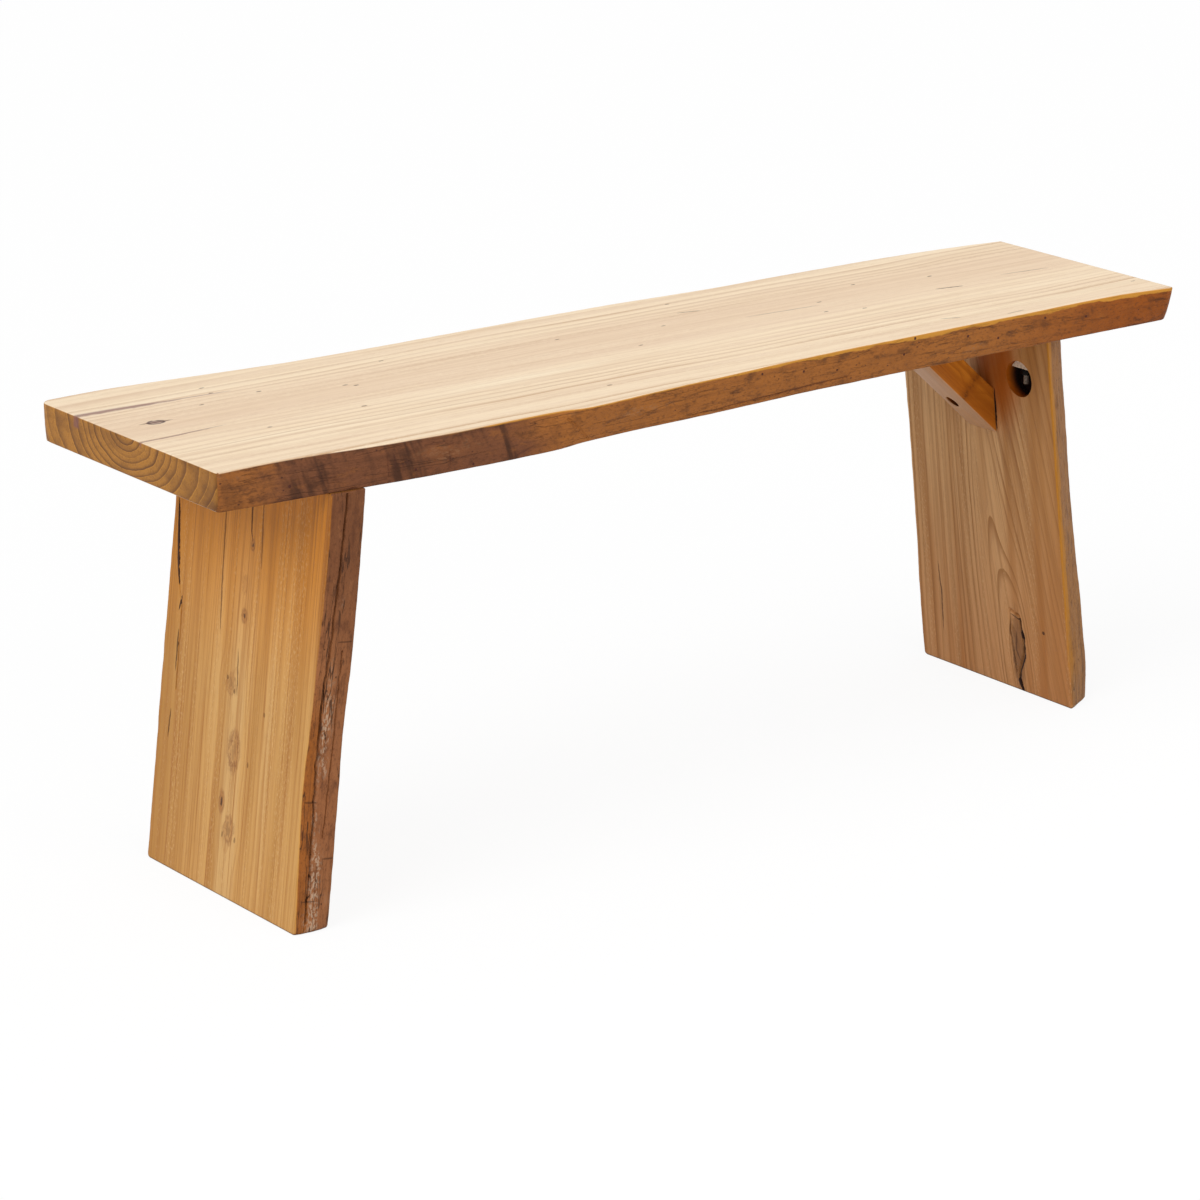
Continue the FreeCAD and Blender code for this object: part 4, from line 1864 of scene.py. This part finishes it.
def seat_look() -> BoardLook:
    """Knots, worm holes, splits and colours of the seat.

    Returns:
        The look, in mm from just above the middle of the seat's top.
    """
    flecks = ((-447, 114), (-480, 62), (-450, 93), (-472, -44), (-359, -35), (-126, -114), (-7, -9),
              (252, 22), (231, -14), (273, -26), (578, -106), (-330, 40), (-322, 33), (-410, 70),
              (-250, 96), (120, 110), (60, 40), (330, 60), (420, 40), (-60, 60))
    holes = ((34, -8.4), (90, -15.3), (135, -21.2), (224, -19.6), (238, -5.2), (-522, -26.1), (-390, -29.9),
             (-326, -35.0), (310, -14.0), (352, -22.0), (418, -11.0), (476, -18.0))
    scars = ((-419, -22, 11), (-412, -20, 9), (-352, -26, 7), (-404, -26, 6))
    knots = [Knot(-548, 34, 9.0, 6.0, core=0.3, rim=0.95, fill=0.9, ragged=0.28, patchy=0.0)]
    knots += [Knot(x, y, 3.2, 1.1, KnotKind.PIN, core=0.8) for x, y in flecks]
    knots += [Knot(x, z, 1.5, 1.4, KnotKind.PIN, Face.EDGE, 1.0) for x, z in holes]
    knots += [Knot(x, z, 1.0, half, KnotKind.PIN, Face.EDGE, 0.3) for x, z, half in scars]
    checks = (
        Check(((-566, 36), (-530, 33)), 1.6),
        Check(((104, 74), (130, 68)), 1.8, depth=0.7),
        Check(((150, 18), (244, 12)), 1.6, depth=0.45, soft=0.8),
        Check(((386, -8), (420, -14)), 2.2, depth=0.8),
        Check(((486, 0), (548, -7)), 1.6, depth=0.5, soft=0.6),
        Check(((374, -133), (400, -131)), 1.4, depth=0.6),
        Check(((305, -108), (326, -116)), 1.3, depth=0.7),
        Check(((-60, -35.0), (60, -33.0), (155, -30.5)), 1.3, Face.EDGE, 0.6, soft=0.6),
        Check(((-280, -36.0), (-254, -29.0)), 1.4, Face.EDGE, 0.5, soft=0.7),
    )
    streaks = (
        Check(((-720, 101), (-556, 96), (-486, 92)), 8.0, depth=0.75, below=-13.0, soft=2.6),
        Check(((-540, 96), (-430, 89)), 2.6, depth=0.55, soft=1.2),
        Check(((-700, -21), (-566, -17), (-500, -12)), 3.0, depth=0.65, below=-6.0, soft=1.0),
    )
    live = LiveEdge(light=Fade(-300, -212, 0.9), first_light=Fade(-515, -575, 0.7), warm=Fade(300, 560, 0.85),
                    under=-36.0, smudged=0.55, cracked=0.3, streaked=0.26, draped=0.95)
    sap = SapBand(-9.0, 4.0, 0.3, 1.8, Fade(-370, -290, 0.85), Fade(-120, 260, 4.0))
    rings = Rings(8.0, 0.0, 0.0, 0.0, 5.0, 0.95, 24.0, 110.0, Fade(10, 60), 0.55)
    marks = Marks(tuple(knots), checks, streaks=streaks)
    return BoardLook(SEAT_PALETTE, rings, sap, Figure(0.24, 0.22, 0.16, 0.25), marks, live, lane=(34, 44))


def left_leg_look() -> BoardLook:
    """Knots, splits and colours of the left leg.

    Returns:
        The look, in mm up the leg from its outer foot.
    """
    pins = ((194, -79, 2.5, 1.6), (61, -46, 3, 1.6), (61, -24, 3, 1.6), (139, -58, 3, 1.4),
            (214, -13, 2.5, 2.0), (203, -26, 2.5, 1.8))
    cracks = ((285, 27, 0.9, 9), (129, 8, 1.2, 6), (74, 29, 0.9, 7), (33, 12, 1.0, 8))
    knots = [Knot(279, -33, 7, 5, core=0.8, rim=0.5, fill=0.8, ragged=0.45),
             Knot(309, -30, 10, 5, core=0.0, rim=0.25, fill=0.3, ragged=0.9),
             Knot(209, -20, 11, 9, core=0.25, rim=0.4, fill=0.35, ragged=1.0),
             Knot(146, -33, 20, 10, core=0.2, rim=0.65, fill=0.40, ragged=0.7),
             Knot(92, -19, 11, 5, core=0.85, rim=0.45, fill=0.8, ragged=0.5),
             Knot(68, -34, 14, 9, core=0.3, rim=0.55, fill=0.40, ragged=0.8),
             Knot(349, -38, 6, 3.4, core=0.9, rim=0.5, fill=0.8, ragged=0.4)]
    knots += [Knot(*pin, KnotKind.PIN, core=0.5) for pin in pins]
    knots += [Knot(*crack, KnotKind.PIN, Face.EDGE, 0.6) for crack in cracks]
    checks = (
        Check(((281, 83), (307, 88), (366, 94)), 2.8),
        Check(((256, 80), (272, 76)), 2.0),
        Check(((196, 78), (238, 78)), 2.0, depth=0.8),
        Check(((128, 83), (158, 81)), 1.6, depth=0.8),
        Check(((352, -37), (362, -34), (440, -29)), 2.4, depth=0.8),
        Check(((252, 6), (304, 9), (395, 12)), 2.2, depth=0.65),
        Check(((330, -55), (405, -50)), 1.8, depth=0.6),
        Check(((200, -31), (246, -27)), 1.5, depth=0.7),
    )
    # Painted shade near the front arris at the top, under the seat's overhang.
    shades_and_stains = (ShadeAndStain(400, -164, 250, 13, 0.60, tone=tint(136, 76, 16)),)
    live = LiveEdge(dark=Fade(220, 380, 0.55), strip=Fade(270, 180), strip_width=11.0, smudged=0.9,
                    cracked=0.85)
    sap = SapBand(-4.0, 12.0, 0.4, 0.8, Fade(260, 60, 0.4))
    return BoardLook(LEFT_LEG_PALETTE, Rings(-28, 4.0, 0.0, 0.0, 9.0, 0.45), sap,
                     Figure(0.45, 0.75, 0.48, 0.30), Marks(tuple(knots), checks, shades_and_stains), live,
                     # The top of the leg darkens with painted shade under the seat.
                     top=Fade(190, 410, 0.85), flank=Fade(10, 110, 0.90), lane=(-30, 14))


def right_leg_look() -> BoardLook:
    """Knots, splits and colours of the right leg.

    Returns:
        The look, in mm up the leg from its outer foot.
    """
    knots = (Knot(50, -39, 42, 9, core=0.0, rim=0.40, fill=0.80, ragged=0.7, swerve=1.7),
             Knot(83, -82, 2.2, 2.0, KnotKind.PIN),
             Knot(330, 70, 4.0, 1.0, KnotKind.PIN, core=0.6))
    checks = (
        Check(KNOT_SPLIT, 3.8, soft=0.6),
        Check(((94, -29), (73, -27), (64, -29), (37, -32), (18, -35)), 1.8, depth=0.55, soft=0.6),
        Check(((74, -38), (52, -36), (40, -42)), 2.4, depth=0.6, soft=0.8),
        Check(((42, 84), (90, 83), (125, 86)), 1.8, depth=0.7),
        # Painted shadow in the gap between the brace's mitre and the leg.
        Check(((305, -27), (352, -27)), 2.4),
    )
    sap = SapBand(20.0, 44.0, 2.4, 9.0, Fade(10, 120, 0.85))
    # Painted shadow of the seat on the inner face, between the brace and the access hole.
    shades_and_stains = (ShadeAndStain(385, -34, 78, 34, 0.85, Fade(10, 30)),)
    rings = Rings(-41, 36.0, -0.12, 0.20, 9.0, 0.90, slanted=Fade(90, -40))
    return BoardLook(RIGHT_LEG_PALETTE, rings, sap, Figure(0.40, 0.40, 0.35, 0.25),
                     Marks(knots, checks, shades_and_stains), top=Fade(330, 0, 0.42), flank=Fade(-10, -110, 0.55))


def brace_look(middle: float) -> BoardLook:
    """Knots and colours of a brace.

    Args:
        middle: where the brace's middle lies across the bench, in mm.

    Returns:
        The look, in mm along the brace from its seat end.
    """
    knots = (Knot(126, middle - 20, 8, 5, core=0.4, rim=0.0, fill=0.6),
             Knot(112, middle - 22, 3, 2.4, KnotKind.PIN),
             Knot(40, middle - 12, 9, 1.6, KnotKind.PIN),
             Knot(20, middle + 6, 12, 1.2, KnotKind.PIN))
    shades_and_stains = (ShadeAndStain(40, middle - 22, 30, 30, 0.35), ShadeAndStain(150, middle - 22, 34, 30, 0.35))
    return BoardLook(BRACE_PALETTE, Rings(middle + 60, 90.0, 0.08, 0.0, 7.0, 0.5),
                     SapBand(0, 1, 0, 0, Fade()), Figure(0.5, 0.5, 0.4, 0.2), Marks(knots, (), shades_and_stains),
                     # The lower face is paler all along: unlacquered wood with a painted reflection of the
                     # white floor.
                     raw_and_floor_sheen=replace(ALWAYS, strength=0.80))


def make_seat(legs: list[SlabLeg]) -> SeatSlab:
    """The seat, bored for the legs' bolts and braces.

    Args:
        legs: the legs.

    Returns:
        The seat.
    """
    grooves = (
        Groove(((-0.056, -0.0148), (0.02, -0.0135), (0.126, -0.0106), (0.150, -0.0105)), 1, -1, 1.0 * MM,
               1.0 * MM),
        Groove(((-0.214, 0.010), (-0.200, -0.002), (-0.186, -0.016)), 1, -1, 1.6 * MM, 1.2 * MM),
        Groove(((-0.4195, 0.008), (-0.4190, -0.013)), 1, -1, 0.9 * MM, 0.5 * MM),
        Groove(((-0.3522, 0.002), (-0.3518, -0.012)), 1, -1, 0.9 * MM, 0.5 * MM),
    )
    return SeatSlab("seat_board", "seat_slab", "seat_wood", (SEAT_LENGTH, SEAT_WIDTH, SEAT_THICKNESS),
                    SEAT_CELLS, crowding=2.2, grooves=grooves,
                    bolts=tuple(bolt for leg in legs for bolt in leg.bolts()),
                    brace_screws=tuple(leg.brace_lines()[1][0] for leg in legs))


def make_left_leg() -> SlabLeg:
    """The left leg, whose outer face and split front edge show.

    Returns:
        The leg.
    """
    grooves = (
        Groove(((-0.20, -0.008), (-0.10, -0.006), (0.0, -0.009), (0.09, -0.006), (0.21, -0.002)), 1, -1,
               1.3 * MM, 3.0 * MM),
        Groove(((-0.12, 0.004), (-0.03, 0.007), (0.06, 0.006)), 1, -1, 0.9 * MM, 1.8 * MM),
        Groove(((0.1475, 0.126), (0.068, 0.114), (0.049, 0.107), (0.025, 0.106), (-0.035, 0.105)), 2, -1,
               1.0 * MM, 1.5 * MM),
    )
    return SlabLeg(
        "left_leg_slab", "left_leg", "leg_wood", (UNDERSIDE, LEFT_LEG_WIDTH, LEG_THICKNESS), LEG_CELLS,
        grooves=grooves, side=Side.LEFT, foot_reach=0.531, middle=-0.030, brace_middle=-0.010,
        edge_shares=LEFT_LEG_SHARES, ridge=1.7, look=left_leg_look())


def make_right_leg() -> SlabLeg:
    """The right leg, whose inner face shows, with a split knot at its foot.

    Returns:
        The leg.
    """
    split = tuple((along * MM - UNDERSIDE / 2, across * MM) for along, across in KNOT_SPLIT)
    grooves = (
        Groove(split, 2, 1, 2.0 * MM, 2.6 * MM),
        Groove(((-0.120, -0.029), (-0.147, -0.029), (-0.190, -0.035)), 2, 1, 1.4 * MM, 1.4 * MM),
    )
    return SlabLeg(
        "right_leg_slab", "right_leg", "leg_wood", (UNDERSIDE, RIGHT_LEG_WIDTH, LEG_THICKNESS), LEG_CELLS,
        grooves=grooves, side=Side.RIGHT, foot_reach=0.534, middle=0.0, brace_middle=-0.004,
        edge_shares=RIGHT_LEG_SHARES, look=right_leg_look())


def write_sizes() -> None:
    """Logs the CAD box and the dressed bench's box."""
    low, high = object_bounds()
    boxes = {"cad": [list(CAD_LOW), list(CAD_HIGH)], "visual": [list(low), list(high)]}
    log.info("CAD box %s, visual box %s", boxes["cad"], boxes["visual"])


def main() -> None:
    """Builds the studio and the bench."""
    logging.basicConfig(level=logging.INFO, format="%(name)s: %(message)s")
    Studio().build()
    legs = [make_left_leg(), make_right_leg()]
    make_seat(legs).build()
    for leg in legs:
        leg.build()
        Brace(leg).build()
    Hardware(
        SteelFinish("zinc_plate", tint(236, 222, 202), tint(198, 182, 162), 0.40, 0.2),
        SteelFinish("dull_zinc", tint(132, 118, 104), tint(92, 80, 70), 0.50, 0.2),
        SteelFinish("black_steel", tint(22, 20, 19), tint(40, 36, 33), 0.55),
        SteelFinish("turned_brass", tint(196, 160, 92), tint(150, 116, 60), 0.32),
    ).dress()
    write_sizes()


if __name__ == "__main__":
    main()
